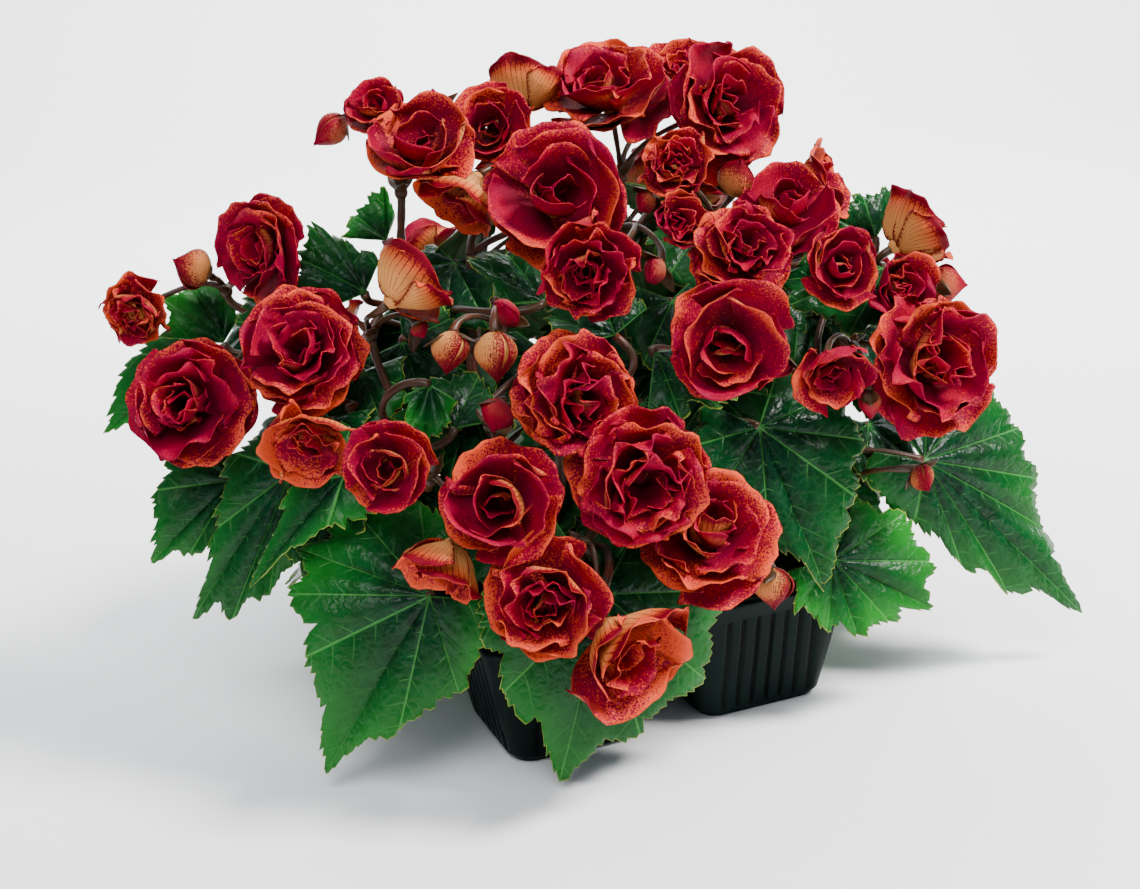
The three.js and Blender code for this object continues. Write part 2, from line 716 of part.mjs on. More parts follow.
// Forks of the flower stalks.
const forks = {
  crest_left: { plant: "back_left", at: [401, 192, 22] },
  crest_middle: { plant: "back_left", at: [480, 205, 12] },
  crest_right: { plant: "back_right", at: [621, 176, -6] },
  brow_middle: { plant: "back_right", at: [618, 235, 28] },
  brow_right: { plant: "back_right", at: [715, 225, 22] },
  shoulder_right: { plant: "back_right", at: [812, 245, 6] },
  side_right: { plant: "front_right", at: [880, 300, 8] },
  cheek_right: { plant: "front_right", at: [850, 350, 28] },
  chest_right: { plant: "front_right", at: [740, 330, 44] },
  arm_right: { plant: "front_right", at: [868, 487, 24] },
  skirt_right: { plant: "front_right", at: [735, 510, 66] },
  chest_middle: { plant: "front_left", at: [600, 430, 72] },
  chest_left: { plant: "front_left", at: [490, 425, 76] },
  skirt_left: { plant: "front_left", at: [430, 480, 84] },
  skirt_middle: { plant: "front_left", at: [585, 545, 100] },
  heart_left: { plant: "front_left", at: [371, 335, 48] },
  heart_middle: { plant: "front_left", at: [500, 330, 60] },
  shoulder_left: { plant: "back_left", at: [325, 318, 26] },
  cheek_left: { plant: "front_left", at: [352, 408, 52] },
  arm_left: { plant: "back_left", at: [226, 291, 14] },
  hand_left: { plant: "back_left", at: [258, 352, 18] },
};

// Blooms: place, the way they face [turn, tilt], width across, form and fork.
const seenBlooms = {
  crest_left_bud: { at: [330, 131, 22], face: [-62, -32], across: 19, form: "bud", fork: "crest_left" },
  crest_left_small: { at: [374, 106, 26], face: [-14, 42], across: 24, form: "half", fork: "crest_left" },
  crest_left_cup: { at: [422, 146, 42], face: [4, 48], across: 44, form: "cup", fork: "crest_left" },
  crest_middle_cup: { at: [492, 123, 30], face: [-6, 24], across: 32, form: "half", fork: "crest_middle" },
  crest_middle_back: { at: [527, 94, -4], face: [165, 50], across: 32, form: "half", fork: "crest_middle" },
  crest_middle_drop: { at: [466, 194, 44], face: [-52, -42], across: 36, form: "half", fork: "crest_middle" },
  crest_right_saucer: { at: [612, 100, -4], face: [-4, 64], across: 52, form: "open", fork: "crest_right" },
  crest_right_great: { at: [724, 108, 4], face: [26, 18], across: 50, form: "open", fork: "crest_right" },
  crest_right_back: { at: [684, 72, -26], face: [10, 62], across: 30, form: "half", fork: "crest_right" },
  brow_great: { at: [553, 203, 50], face: [8, 26], across: 57, form: "open", fork: "brow_middle" },
  brow_knob: { at: [676, 164, 42], face: [-6, 34], across: 27, form: "rosette", fork: "brow_right" },
  brow_back_bud: { at: [737, 177, 26], face: [24, 62], across: 20, form: "bud", fork: "brow_right" },
  brow_half: { at: [682, 224, 64], face: [10, 30], across: 24, form: "half", fork: "brow_right" },
  brow_spiral: { at: [590, 270, 88], face: [-4, 4], across: 36, form: "rosette", fork: "brow_middle" },
  chest_ruffle: { at: [738, 256, 70], face: [16, 26], across: 40, form: "open", fork: "brow_right" },
  chest_great: { at: [726, 338, 92], face: [4, 8], across: 46, form: "open", fork: "chest_right" },
  shoulder_cup: { at: [785, 214, 40], face: [0, 52], across: 42, form: "cup", fork: "shoulder_right" },
  shoulder_side: { at: [817, 184, 10], face: [68, 24], across: 32, form: "half", fork: "shoulder_right" },
  shoulder_round: { at: [842, 268, 58], face: [20, 16], across: 32, form: "cup", fork: "shoulder_right" },
  side_back: { at: [909, 237, 16], face: [112, 25], across: 37, form: "half", fork: "side_right" },
  side_bud: { at: [948, 284, 16], face: [88, -6], across: 18, form: "bud", fork: "side_right" },
  side_half: { at: [898, 288, 46], face: [24, 12], across: 30, form: "half", fork: "side_right" },
  side_great: { at: [927, 365, 58], face: [24, 6], across: 56, form: "open", fork: "cheek_right" },
  cheek_cup: { at: [833, 371, 76], face: [6, -22], across: 32, form: "cup", fork: "cheek_right" },
  skirt_right_bud: { at: [773, 588, 100], face: [10, -80], across: 19, form: "bud", fork: "skirt_right" },
  skirt_right_ruffle: { at: [706, 543, 108], face: [16, 46], across: 52, form: "open", fork: "skirt_right" },
  chest_middle_great: { at: [636, 474, 116], face: [2, 6], across: 51, form: "open", fork: "chest_middle" },
  chest_middle_ruffle: { at: [572, 393, 102], face: [22, 18], across: 47, form: "open", fork: "chest_middle" },
  chest_left_great: { at: [503, 498, 122], face: [-4, 22], across: 46, form: "open", fork: "chest_left" },
  skirt_left_cup: { at: [387, 467, 106], face: [-8, 18], across: 34, form: "cup", fork: "skirt_left" },
  skirt_left_drop: { at: [444, 562, 124], face: [-38, -46], across: 36, form: "half", fork: "skirt_left" },
  skirt_middle_rose: { at: [546, 597, 136], face: [-6, 10], across: 44, form: "rosette", fork: "skirt_middle" },
  skirt_middle_side: { at: [622, 648, 134], face: [38, -16], across: 50, form: "half", fork: "skirt_middle" },
  heart_fan: { at: [405, 287, 64], face: [118, 36], across: 38, form: "half", fork: "heart_left" },
  heart_hanging: { at: [496, 356, 92], face: [4, -78], across: 22, form: "bud", fork: "heart_middle" },
  heart_drop: { at: [450, 352, 84], face: [-24, -60], across: 19, form: "bud", fork: "heart_middle" },
  shoulder_left_great: { at: [305, 358, 66], face: [-4, 38], across: 48, form: "open", fork: "shoulder_left" },
  cheek_left_hood: { at: [310, 440, 88], face: [-8, -24], across: 34, form: "cup", fork: "cheek_left" },
  hand_left_great: { at: [195, 400, 54], face: [-8, 20], across: 52, form: "open", fork: "hand_left" },
  arm_left_knob: { at: [138, 310, 34], face: [-16, 0], across: 27, form: "rosette", fork: "arm_left" },
  arm_left_bud: { at: [192, 268, 26], face: [-62, 32], across: 19, form: "bud", fork: "arm_left" },
  arm_left_side: { at: [268, 253, 38], face: [-46, 14], across: 44, form: "open", fork: "shoulder_left" },
};

// Closed buds that are one with their stalks.
const greenBuds = {
  crest_left: { at: [434, 102, 10], face: [0, 70], across: 13, form: "bud", fork: "crest_left" },
  brow: { at: [654, 272, 76], face: [-30, -24], across: 13, form: "bud", fork: "brow_middle" },
  brow_brown: { at: [645, 202, 46], face: [-30, -30], across: 12, form: "bud", fork: "brow_middle" },
  chest_right: { at: [776, 366, 72], face: [-36, -36], across: 14, form: "bud", fork: "chest_right" },
  cheek_right: { at: [870, 404, 70], face: [6, -72], across: 13, form: "bud", fork: "cheek_right" },
  arm_right: { at: [923, 479, 58], face: [14, -30], across: 14, form: "bud", fork: "arm_right" },
  chest_left: { at: [497, 416, 90], face: [-16, -36], across: 16, form: "bud", fork: "chest_left" },
  heart_middle: { at: [506, 312, 76], face: [0, 40], across: 14, form: "bud", fork: "heart_middle" },
  heart_left: { at: [420, 330, 62], face: [40, -50], across: 8, form: "bud", fork: "heart_left" },
};

// Blooms on the far side: turn round the plant, distance out, height, and the rest as above.
const hiddenBlooms = {
  back_1: { turn: 250, out: 128, height: 150, tilt: 16, across: 48, form: "open", plant: "back_left" },
  back_2: { turn: 222, out: 112, height: 176, tilt: 26, across: 46, form: "open", plant: "back_left" },
  back_3: { turn: 196, out: 116, height: 146, tilt: 12, across: 46, form: "cup", plant: "back_left" },
  back_4: { turn: 166, out: 120, height: 160, tilt: 16, across: 50, form: "open", plant: "back_right" },
  back_5: { turn: 138, out: 126, height: 138, tilt: 12, across: 44, form: "rosette", plant: "back_right" },
  back_6: { turn: 112, out: 134, height: 158, tilt: 18, across: 48, form: "open", plant: "back_right" },
  back_7: { turn: 208, out: 66, height: 218, tilt: 46, across: 46, form: "cup", plant: "back_left" },
  back_8: { turn: 146, out: 76, height: 212, tilt: 42, across: 48, form: "open", plant: "back_right" },
  back_9: { turn: 104, out: 96, height: 204, tilt: 40, across: 42, form: "half", plant: "back_right" },
};

// ---- growing the plants

const ownerOf = (plant) => "plant_" + plant;
const bodies = Object.fromEntries(Object.keys(plants).map((plant) => [plant, []]));
const draw = seeded(7);

function growShoots(plant) {
  const [x, y] = cellMiddle(plant);
  const { foot, head, radius, shoot } = stem;
  const trunk = new THREE.CylinderGeometry(0.8 * radius, radius, head - foot, 6).rotateX(Math.PI / 2);
  bodies[plant].push(solid(trunk.translate(x, y, (head + foot) / 2)));
  const from = vec(x, y, head - 2 * radius);
  plants[plant].curves = plants[plant].shoots.map((at) => route(from, spot(at), up, 0.25, 0));
  for (const curve of plants[plant].curves) {
    bodies[plant].push(keep(ownerOf(plant), tube(curve, shoot, 4, shootSteps), "stem"));
  }
}

function growLeaf(name, plant, leaf) {
  const normal = leafNormal(leaf.hub, leaf.tips);
  const owner = ownerOf(plant);
  const shifts = [0, 3, -3, 6, -6, 9, -9, 12, -12];
  const moved = (shift) => {
    const step = normal.clone().multiplyScalar(shift);
    return { ...leaf, hub: leaf.hub.clone().add(step), tips: leaf.tips.map((tip) => tip.clone().add(step)) };
  };
  const skips = [() => false, (g) => g.owner === owner];
  for (const skip of skips) {
    const shift = shifts.find((s) => isClear(blade(moved(s), guardGap), skip));
    if (shift === undefined) continue;
    const placed = moved(shift);
    bodies[plant].push(keep(owner, blade(placed), "leaf", name));
    return { name, plant, normal, ...placed };
  }
  throw new Error("leaf " + name + " has no room");
}

// A petiole ends in the blade, under the widest of the fields between the veins.
function growPetiole({ name, plant, normal, hub, tips }) {
  const arms = tips.map((tip) => tip.clone().sub(hub).normalize());
  const fields = arms.slice(1).map((arm, i) => ({ arm: mix(arm, arms[i], 0.5), angle: arm.angleTo(arms[i]) }));
  const { arm } = fields.reduce((best, field) => (field.angle > best.angle ? field : best));
  const to = hub.clone().addScaledVector(arm, 3 * stem.petiole).addScaledVector(normal, -0.5 * leafThickness);
  const from = springPoint(plants[plant].curves, hub);
  const middle = tips.reduce((sum, tip) => sum.add(tip), vec(0, 0, 0)).divideScalar(tips.length);
  const arrive = middle.sub(hub).normalize().addScaledVector(normal, 0.6).normalize();
  const body = stemBetween(name, ownerOf(plant), from, to, arrive, stem.petiole, 2, name);
  bodies[plant].push(keep(ownerOf(plant), body, "stem"));
}

function growStalk(name, plant, from, to, arrive, radius) {
  const body = stemBetween(name, ownerOf(plant), from, to, arrive, radius, 2);
  bodies[plant].push(keep(ownerOf(plant), body, "stem"));
}

function growPedicel(name, plant, from, place, isJoined) {
  const gap = isJoined ? -1.5 : clearance;
  const to = place.base.clone().addScaledVector(place.axis, -gap);
  growStalk(name, plant, from, to, place.axis, stem.pedicel);
}

const seenBloom = ({ at, face, across, form }) => ({ centre: spot(at), axis: facing(face), across, form });

function hiddenBloom({ turn, out, height, tilt, across, form }) {
  const centre = facing([turn, 0]).multiplyScalar(out).setZ(height);
  return { centre, axis: facing([turn, tilt]), across, form };
}

const materials = {
  pack: new THREE.MeshStandardMaterial({ color: "#1d2a29", roughness: 0.45, metalness: 0 }),
  soil: new THREE.MeshStandardMaterial({ color: "#33261c", roughness: 0.95, metalness: 0 }),
  plant: new THREE.MeshStandardMaterial({ color: "#1c5a28", roughness: 0.5, metalness: 0 }),
  petal: new THREE.MeshStandardMaterial({ color: "#b30d22", roughness: 0.6, metalness: 0 }),
};

const meshes = [meshOf("cell_pack", keep("cell_pack", cellPack()), materials.pack)];
for (const name of Object.keys(cellNames)) {
  meshes.push(meshOf("soil_" + name, keep("soil", soilBody(name)), materials.soil));
}
Object.keys(plants).forEach(growShoots);

const leaves = [];
for (const [name, row] of Object.entries(seenLeaves)) leaves.push(growLeaf(name, row.plant, seenLeaf(row)));
for (const [name, row] of Object.entries(hiddenLeaves)) leaves.push(growLeaf(name, row.plant, commonLeaf(row)));

const stalks = [];
for (const [name, row] of Object.entries(seenBlooms)) {
  const { place, body } = bloomBody(name, seenBloom(row), name, draw);
  meshes.push(meshOf("bloom_" + name, keep("bloom_" + name, body), materials.petal));
  stalks.push({ name, place, fork: row.fork });
}
for (const [name, row] of Object.entries(greenBuds)) {
  const { plant } = forks[row.fork];
  const { place, body } = bloomBody(name, seenBloom(row), ownerOf(plant), draw);
  bodies[plant].push(keep(ownerOf(plant), body, "bud"));
  stalks.push({ name, place, fork: row.fork, isJoined: true });
}
for (const [name, row] of Object.entries(hiddenBlooms)) {
  const { place, body } = bloomBody(name, hiddenBloom(row), name, draw);
  meshes.push(meshOf("bloom_" + name, keep("bloom_" + name, body), materials.petal));
  stalks.push({ name, place, plant: row.plant });
}

for (const [name, { plant, at }] of Object.entries(forks)) {
  const to = spot(at);
  growStalk(name, plant, springPoint(plants[plant].curves, to), to, up, stem.peduncle);
  const knot = solid(new THREE.OctahedronGeometry(stem.knot).translate(...to.toArray()));
  bodies[plant].push(keep(ownerOf(plant), knot, "stem"));
}
for (const { name, place, fork, plant, isJoined } of stalks) {
  if (fork) growPedicel(name, forks[fork].plant, spot(forks[fork].at), place, isJoined);
  else growPedicel(name, plant, springPoint(plants[plant].curves, place.base), place);
}
leaves.forEach(growPetiole);
for (const plant of Object.keys(plants)) {
  meshes.push(meshOf(ownerOf(plant), filled(plant, unite(bodies[plant])), materials.plant));
}

// The origin goes under the middle of the whole.
const group = new THREE.Group();
group.add(...meshes);
const size = new THREE.Box3().setFromObject(group);
const middle = size.getCenter(vec(0, 0, 0));
meshes.forEach((mesh) => mesh.position.set(-middle.x, -middle.y, -size.min.z));

export default group;
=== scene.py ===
# A pack of four begonias in full bloom, dressed over its fixed frame. Metres, +Z up.
import math

import bmesh
import bpy
import numpy as np
from mathutils import Matrix, Vector, kdtree


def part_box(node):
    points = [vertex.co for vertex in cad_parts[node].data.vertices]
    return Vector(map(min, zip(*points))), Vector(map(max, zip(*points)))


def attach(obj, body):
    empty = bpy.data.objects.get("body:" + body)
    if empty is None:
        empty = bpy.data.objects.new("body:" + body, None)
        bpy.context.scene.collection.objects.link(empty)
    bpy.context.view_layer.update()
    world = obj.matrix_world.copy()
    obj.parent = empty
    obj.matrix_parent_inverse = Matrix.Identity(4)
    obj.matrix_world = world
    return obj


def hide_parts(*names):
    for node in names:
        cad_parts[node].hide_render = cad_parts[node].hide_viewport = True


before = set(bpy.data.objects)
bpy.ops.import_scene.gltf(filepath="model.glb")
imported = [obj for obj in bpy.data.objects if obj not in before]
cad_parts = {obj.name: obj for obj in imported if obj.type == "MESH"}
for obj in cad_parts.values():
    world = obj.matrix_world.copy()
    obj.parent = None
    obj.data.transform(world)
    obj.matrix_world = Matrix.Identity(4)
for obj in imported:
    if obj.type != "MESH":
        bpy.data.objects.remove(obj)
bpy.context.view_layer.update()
mm = 0.001
print("frame loaded:", len(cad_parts), "nodes")

# ---- the eye that the plant is laid out from, as in the solids: [u, v, near] is a point of the
# picture and how many millimetres it lies before the middle of the pack

eye = {
    "middle": (570, 444.5), "width": 1140, "focal": 1767, "distance": 840, "aside": 12.7,
    "above": 104.7, "pitch": 19, "roll": 3, "heading": 21.3,
}
packLow, packHigh = (np.array(corner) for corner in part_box("cell_pack"))
packMiddle = np.array([*(packLow + packHigh)[:2] / 2, 0.0]) / mm


# A vector, or each of an array of them, at length 1.
def unit(v):
    v = np.asarray(v, float)
    return v / np.linalg.norm(v, axis=-1, keepdims=True)


# Turns a direction seen from the eye (right, away, up) into the row's own axes.
def fromView(v):
    turn = math.radians(eye["heading"])
    x, y, z = v
    return np.array([math.cos(turn) * x + math.sin(turn) * y, math.cos(turn) * y - math.sin(turn) * x, z])


# The place, in mm, that shows at u, v and lies near mm before the pack's middle.
def spot(place):
    u, v, near = place
    cosPitch, sinPitch = math.cos(math.radians(eye["pitch"])), math.sin(math.radians(eye["pitch"]))
    cosRoll, sinRoll = math.cos(math.radians(eye["roll"])), math.sin(math.radians(eye["roll"]))
    a, b = (u - eye["middle"][0]) / eye["focal"], (v - eye["middle"][1]) / eye["focal"]
    x, y = a * cosRoll - b * sinRoll, a * sinRoll + b * cosRoll
    z = (eye["above"] + near * sinPitch - y * (eye["distance"] - near * cosPitch)) / (cosPitch - y * sinPitch)
    depth = eye["distance"] - near * cosPitch - z * sinPitch
    return fromView((x * depth - eye["aside"], -near, z)) + packMiddle


# The direction that turns right of the eye and tilts up, in degrees.
def facing(turn, tilt):
    t, l = math.radians(turn), math.radians(tilt)
    return fromView((math.sin(t) * math.cos(l), -math.cos(t) * math.cos(l), math.sin(l)))


# Seeded draws from 0 to 1, the same as the solids take: a linear congruence modulo 2 to the 32.
def drawer(seed):
    state = seed
    while True:
        state = (state * 1664525 + 1013904223) % 4294967296
        yield state / 4294967296


# The camera stands at the eye, looks down by its pitch and is turned by its roll.
def makeCamera():
    pitch, roll = math.radians(eye["pitch"]), math.radians(eye["roll"])
    right, forward = fromView((1, 0, 0)), fromView((0, math.cos(pitch), -math.sin(pitch)))
    down = -np.cross(right, forward)
    place = packMiddle + fromView((
        -eye["aside"],
        -eye["distance"] * math.cos(pitch) + eye["above"] * math.sin(pitch),
        eye["distance"] * math.sin(pitch) + eye["above"] * math.cos(pitch),
    ))
    data = bpy.data.cameras.new("camera")
    data.sensor_width = 36
    data.lens = eye["focal"] / eye["width"] * data.sensor_width
    data.clip_start, data.clip_end = 0.01, 50
    camera = bpy.data.objects.new("camera", data)
    rolledRight = math.cos(roll) * right + math.sin(roll) * down
    rolledUp = math.sin(roll) * right - math.cos(roll) * down
    matrix = Matrix.Identity(4)
    for column, axis in enumerate((rolledRight, rolledUp, -forward, place * mm)):
        for row in range(3):
            matrix[row][column] = axis[row]
    camera.matrix_world = matrix
    bpy.context.scene.collection.objects.link(camera)
    bpy.context.scene.camera = camera


makeCamera()
print("camera placed")

# ---- meshes


# A pile collects points, faces and per-point values, in mm, until they become one mesh.
def newPile():
    return {"points": [], "quads": [], "tris": [], "values": {}, "count": 0}


# Adds points with a value each for every name in `values`, and says at what number they start.
def addPoints(pile, points, values):
    start = pile["count"]
    flat = points.reshape(-1, 3)
    pile["points"].append(flat)
    for key, value in values.items():
        spread = np.broadcast_to(np.asarray(value, float), points.shape[:-1]).reshape(-1)
        pile["values"].setdefault(key, []).append(spread)
    pile["count"] += len(flat)
    return start


# A thin closed sheet about a grid: a front and a back `thickness` apart and a wall round the edge.
# The front looks along (next row) x (next column). Where there is a hub, the first row closes on it.
# `faces` is what the value "front" says on either side, or None where the piece has no such value.
def addSheet(pile, grid, thickness, values, hub=None, faces=(1, 0)):
    rows, cols = grid.shape[:2]
    normal = gridNormals(grid)
    half = np.broadcast_to(np.asarray(thickness, float), (rows, cols))[..., None] / 2
    index = np.arange(rows * cols).reshape(rows, cols)
    sides, tail = [grid + normal * half, grid - normal * half], index[0, :0:-1]
    values = {key: np.broadcast_to(value, (rows, cols)).ravel() for key, value in values.items()}
    if hub is not None:
        middle = normal[0].mean(0) * half[0, 0]
        sides = [np.concatenate([p.reshape(-1, 3), [hub + middle * k]]) for p, k in zip(sides, (1, -1))]
        values = {key: np.append(value, value[0]) for key, value in values.items()}
        tail = np.array([index[0, -1], rows * cols])
    marks = [{} if face is None else {"front": face} for face in faces]
    front = addPoints(pile, sides[0].reshape(-1, 3), {**values, **marks[0]})
    back = addPoints(pile, sides[1].reshape(-1, 3), {**values, **marks[1]})
    face = np.stack([index[:-1, :-1], index[1:, :-1], index[1:, 1:], index[:-1, 1:]], -1).reshape(-1, 4)
    loop = np.concatenate([index[:-1, 0], index[-1, :-1], index[:0:-1, -1], tail])
    after = np.roll(loop, -1)
    wall = np.stack([after + front, loop + front, loop + back, after + back], -1)
    pile["quads"] += [face + front, face[:, ::-1] + back, wall]
    if hub is not None:
        fan = np.stack([np.full(cols - 1, rows * cols), index[0, :-1], index[0, 1:]], -1)
        pile["tris"] += [fan + front, fan[:, ::-1] + back]


# The unit normal at each point of a grid: the cross product of its slopes along rows and columns.
def gridNormals(grid):
    normal = np.cross(np.gradient(grid, axis=0), np.gradient(grid, axis=1))
    length = np.linalg.norm(normal, axis=-1, keepdims=True)
    return normal / np.maximum(length, 1e-9)


# A tube or lump from a stack of closed rings, capped at both ends.
def addRings(pile, rings, values, isCapped=True):
    rows, cols = rings.shape[:2]
    start = addPoints(pile, rings, values)
    index = start + np.arange(rows * cols).reshape(rows, cols)
    near, far = index[:-1], index[1:]
    pile["quads"].append(np.stack(
        [near, np.roll(near, -1, 1), np.roll(far, -1, 1), far], -1).reshape(-1, 4))
    if not isCapped:
        return
    last = {key: np.broadcast_to(value, (rows, cols))[[0, -1], 0] for key, value in values.items()}
    ends = addPoints(pile, np.stack([rings[0].mean(0), rings[-1].mean(0)]), last)
    pile["tris"] += [
        np.stack([np.full(cols, ends), np.roll(index[0], -1), index[0]], -1),
        np.stack([np.full(cols, ends + 1), index[-1], np.roll(index[-1], -1)], -1),
    ]


# Makes a pile one smooth-shaded piece that rides with the pack, its values as point attributes.
def meshFrom(name, pile, materials):
    points = np.concatenate(pile["points"]) * mm
    sets = [np.concatenate(pile[kind]) for kind in ("quads", "tris") if pile[kind]]
    mesh = bpy.data.meshes.new(name)
    mesh.vertices.add(len(points))
    mesh.vertices.foreach_set("co", points.astype(np.float32).ravel())
    mesh.loops.add(sum(s.size for s in sets))
    mesh.loops.foreach_set("vertex_index", np.concatenate([s.ravel() for s in sets]).astype(np.int32))
    sizes = np.concatenate([np.full(len(s), s.shape[1]) for s in sets])
    mesh.polygons.add(len(sizes))
    mesh.polygons.foreach_set("loop_start", np.concatenate([[0], np.cumsum(sizes)[:-1]]).astype(np.int32))
    mesh.update(calc_edges=True)
    mesh.polygons.foreach_set("use_smooth", np.ones(len(sizes), bool))
    for key, value in pile["values"].items():
        layer = mesh.attributes.new(key, "FLOAT", "POINT")
        layer.data.foreach_set("value", np.concatenate(value).astype(np.float32))
    for material in materials:
        mesh.materials.append(material)
    piece = bpy.data.objects.new(name, mesh)
    bpy.context.scene.collection.objects.link(piece)
    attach(piece, "root")
    return piece


# ---- materials


# An sRGB hex colour as linear red, green, blue and alpha.
def colour(code, alpha=1.0):
    values = [int(code[i:i + 2], 16) / 255 for i in (1, 3, 5)]
    linear = [v / 12.92 if v <= 0.04045 else ((v + 0.055) / 1.055) ** 2.4 for v in values]
    return (*linear, alpha)


# Adds one node with its settings, and sets or links each input that `inputs` names.
def addNode(tree, kind, inputs=None, **settings):
    node = tree.nodes.new(kind)
    for key, value in settings.items():
        setattr(node, key, value)
    for key, value in (inputs or {}).items():
        if isinstance(value, bpy.types.NodeSocket):
            tree.links.new(value, node.inputs[key])
        else:
            node.inputs[key].default_value = value
    return node


# An empty material with a Principled surface, its node tree and that shader.
def newMaterial(name):
    material = bpy.data.materials.new(name)
    material.use_nodes = True
    tree = material.node_tree
    tree.nodes.clear()
    shader = tree.nodes.new("ShaderNodeBsdfPrincipled")
    output = tree.nodes.new("ShaderNodeOutputMaterial")
    tree.links.new(shader.outputs[0], output.inputs["Surface"])
    return material, tree, shader


# A value that the mesh carries at each of its points.
def value(tree, name):
    return addNode(tree, "ShaderNodeAttribute", attribute_name=name).outputs["Fac"]


# The sum, product or other function of up to three values.
def maths(tree, operation, a, b=0.0, c=0.0):
    return addNode(tree, "ShaderNodeMath", {0: a, 1: b, 2: c}, operation=operation).outputs[0]


# 0 below `low`, 1 above `high`, and smooth between.
def ramp(tree, source, low, high):
    inputs = {"Value": source, "From Min": low, "From Max": high}
    return addNode(tree, "ShaderNodeMapRange", inputs, interpolation_type="SMOOTHSTEP").outputs["Result"]


# The colour a, with `share` of it turned to b.
def blend(tree, share, a, b):
    return addNode(tree, "ShaderNodeMix", {0: share, 6: a, 7: b}, data_type="RGBA").outputs[2]


# Noise on object coordinates, whose lumps are `size` mm apart.
def noise(tree, size, detail=2.0, rough=0.5):
    place = addNode(tree, "ShaderNodeTexCoord").outputs["Object"]
    inputs = {"Vector": place, "Scale": 1 / (size * mm), "Detail": detail, "Roughness": rough}
    return addNode(tree, "ShaderNodeTexNoise", inputs).outputs["Fac"]


# Relief of `depth` mm from a height between 0 and 1, laid over the relief `below`.
def bump(tree, height, depth, strength=1.0, below=None):
    inputs = {"Height": height, "Distance": depth * mm, "Strength": strength}
    if below is not None:
        inputs["Normal"] = below
    return addNode(tree, "ShaderNodeBump", inputs).outputs[0]


# Begonia petal: thin, waxy tissue with light in it. Crimson inside, in clouds, darkest at the base,
# and flushed with salmon in speckles towards its rim. The salmon is partly the petal's own colour and
# partly painted highlight: the speckles stand in for the sparkle of the lit petal and the glint on its
# folded rims. Gold to orange behind, with crimson veins that fan out from the base and run together at
# the tip. The look's flush thresholds are where the speckles start and where they close up. The
# speckles are drawn coarser than the cells of a real petal, so that they show.
petalLook = {
    # salmon is the petal's own rim colour and, in the speckles, painted highlight too
    "crimson": "#76002A", "bright": "#980024", "deep": "#5A041E", "salmon": "#C84624",
    "gold": "#CC8A4C", "orange": "#B43A18", "backVein": "#620014",
    "speckle": 0.8, "cloud": 13, "flushAndSheen": (2.2, 2.62), "veins": 32, "veinWander": 5, "veinDepth": 0.1,
    "wrinkle": 3.4, "wrinkleDepth": 0.35, "rough": 0.55, "gloss": 0.1, "waxDepth": 1.2,
}


def petalTissue():
    look = petalLook
    material, tree, shader = newMaterial("begonia petal, waxy crimson tissue")
    across, along, tone = value(tree, "across"), value(tree, "along"), value(tree, "tone")
    grain = noise(tree, look["speckle"], 2, 0.6)
    cloud = noise(tree, look["cloud"], 3)
    mixed = maths(tree, "MULTIPLY_ADD", grain, 1.6, cloud)
    red = blend(tree, ramp(tree, mixed, 1.1, 1.5), colour(look["crimson"]), colour(look["bright"]))
    red = blend(tree, ramp(tree, maths(tree, "SUBTRACT", 0.6, along), 0.0, 0.5), red, colour(look["deep"]))
    rim = maths(tree, "POWER", value(tree, "rim"), 3.0)
    # Salmon speckles: partly the petal's own salmon towards its rim, partly painted highlight for the sparkle
    # of the lit petal and the glint on folded rims.
    flushAndSheen = maths(tree, "MULTIPLY_ADD", rim, 0.3, maths(tree, "MULTIPLY", cloud, 0.8))
    flushAndSheen = maths(tree, "MULTIPLY_ADD", tone, 0.7, flushAndSheen)
    flushAndSheen = maths(tree, "MULTIPLY_ADD", ramp(tree, along, 0.5, 1.0), 0.25, flushAndSheen)
    flushAndSheen = maths(tree, "MULTIPLY_ADD", grain, 2.6, flushAndSheen)
    front = blend(tree, ramp(tree, flushAndSheen, *look["flushAndSheen"]), red, colour(look["salmon"]))
    fan = maths(tree, "MULTIPLY", across, look["veins"])
    wander = maths(tree, "MULTIPLY_ADD", noise(tree, look["veinWander"]), 1.1, fan)
    wave = maths(tree, "ABSOLUTE", maths(tree, "SINE", wander))
    vein = maths(tree, "SUBTRACT", 1.0, ramp(tree, wave, 0.0, 0.4))
    backRed = maths(tree, "MULTIPLY_ADD", vein, 0.6, maths(tree, "MULTIPLY_ADD", grain, 1.2, -0.3))
    backRed = maths(tree, "MULTIPLY_ADD", value(tree, "rim"), 0.7, backRed)
    backRed = maths(tree, "MULTIPLY_ADD", ramp(tree, along, 0.4, 1.0), 0.3, backRed)
    back = blend(tree, ramp(tree, along, 0.3, 0.9), colour(look["gold"]), colour(look["orange"]))
    back = blend(tree, ramp(tree, backRed, 0.5, 1.0), back, colour(look["backVein"]))
    back = blend(tree, ramp(tree, maths(tree, "MULTIPLY_ADD", cloud, 0.5, tone), 0.35, 0.95), red, back)
    body = blend(tree, value(tree, "front"), back, front)
    tree.links.new(body, shader.inputs["Base Color"])
    relief = bump(tree, noise(tree, look["wrinkle"], 3), look["wrinkleDepth"], 0.8)
    tree.links.new(bump(tree, vein, look["veinDepth"], 0.5, relief), shader.inputs["Normal"])
    shader.inputs["Roughness"].default_value = look["rough"]
    shader.inputs["IOR"].default_value = 1.4
    shader.inputs["Specular IOR Level"].default_value = look["gloss"]
    shader.inputs["Subsurface Weight"].default_value = 0.1
    shader.inputs["Subsurface Radius"].default_value = (1.0, 0.15, 0.08)
    shader.inputs["Subsurface Scale"].default_value = look["waxDepth"] * mm
    return material


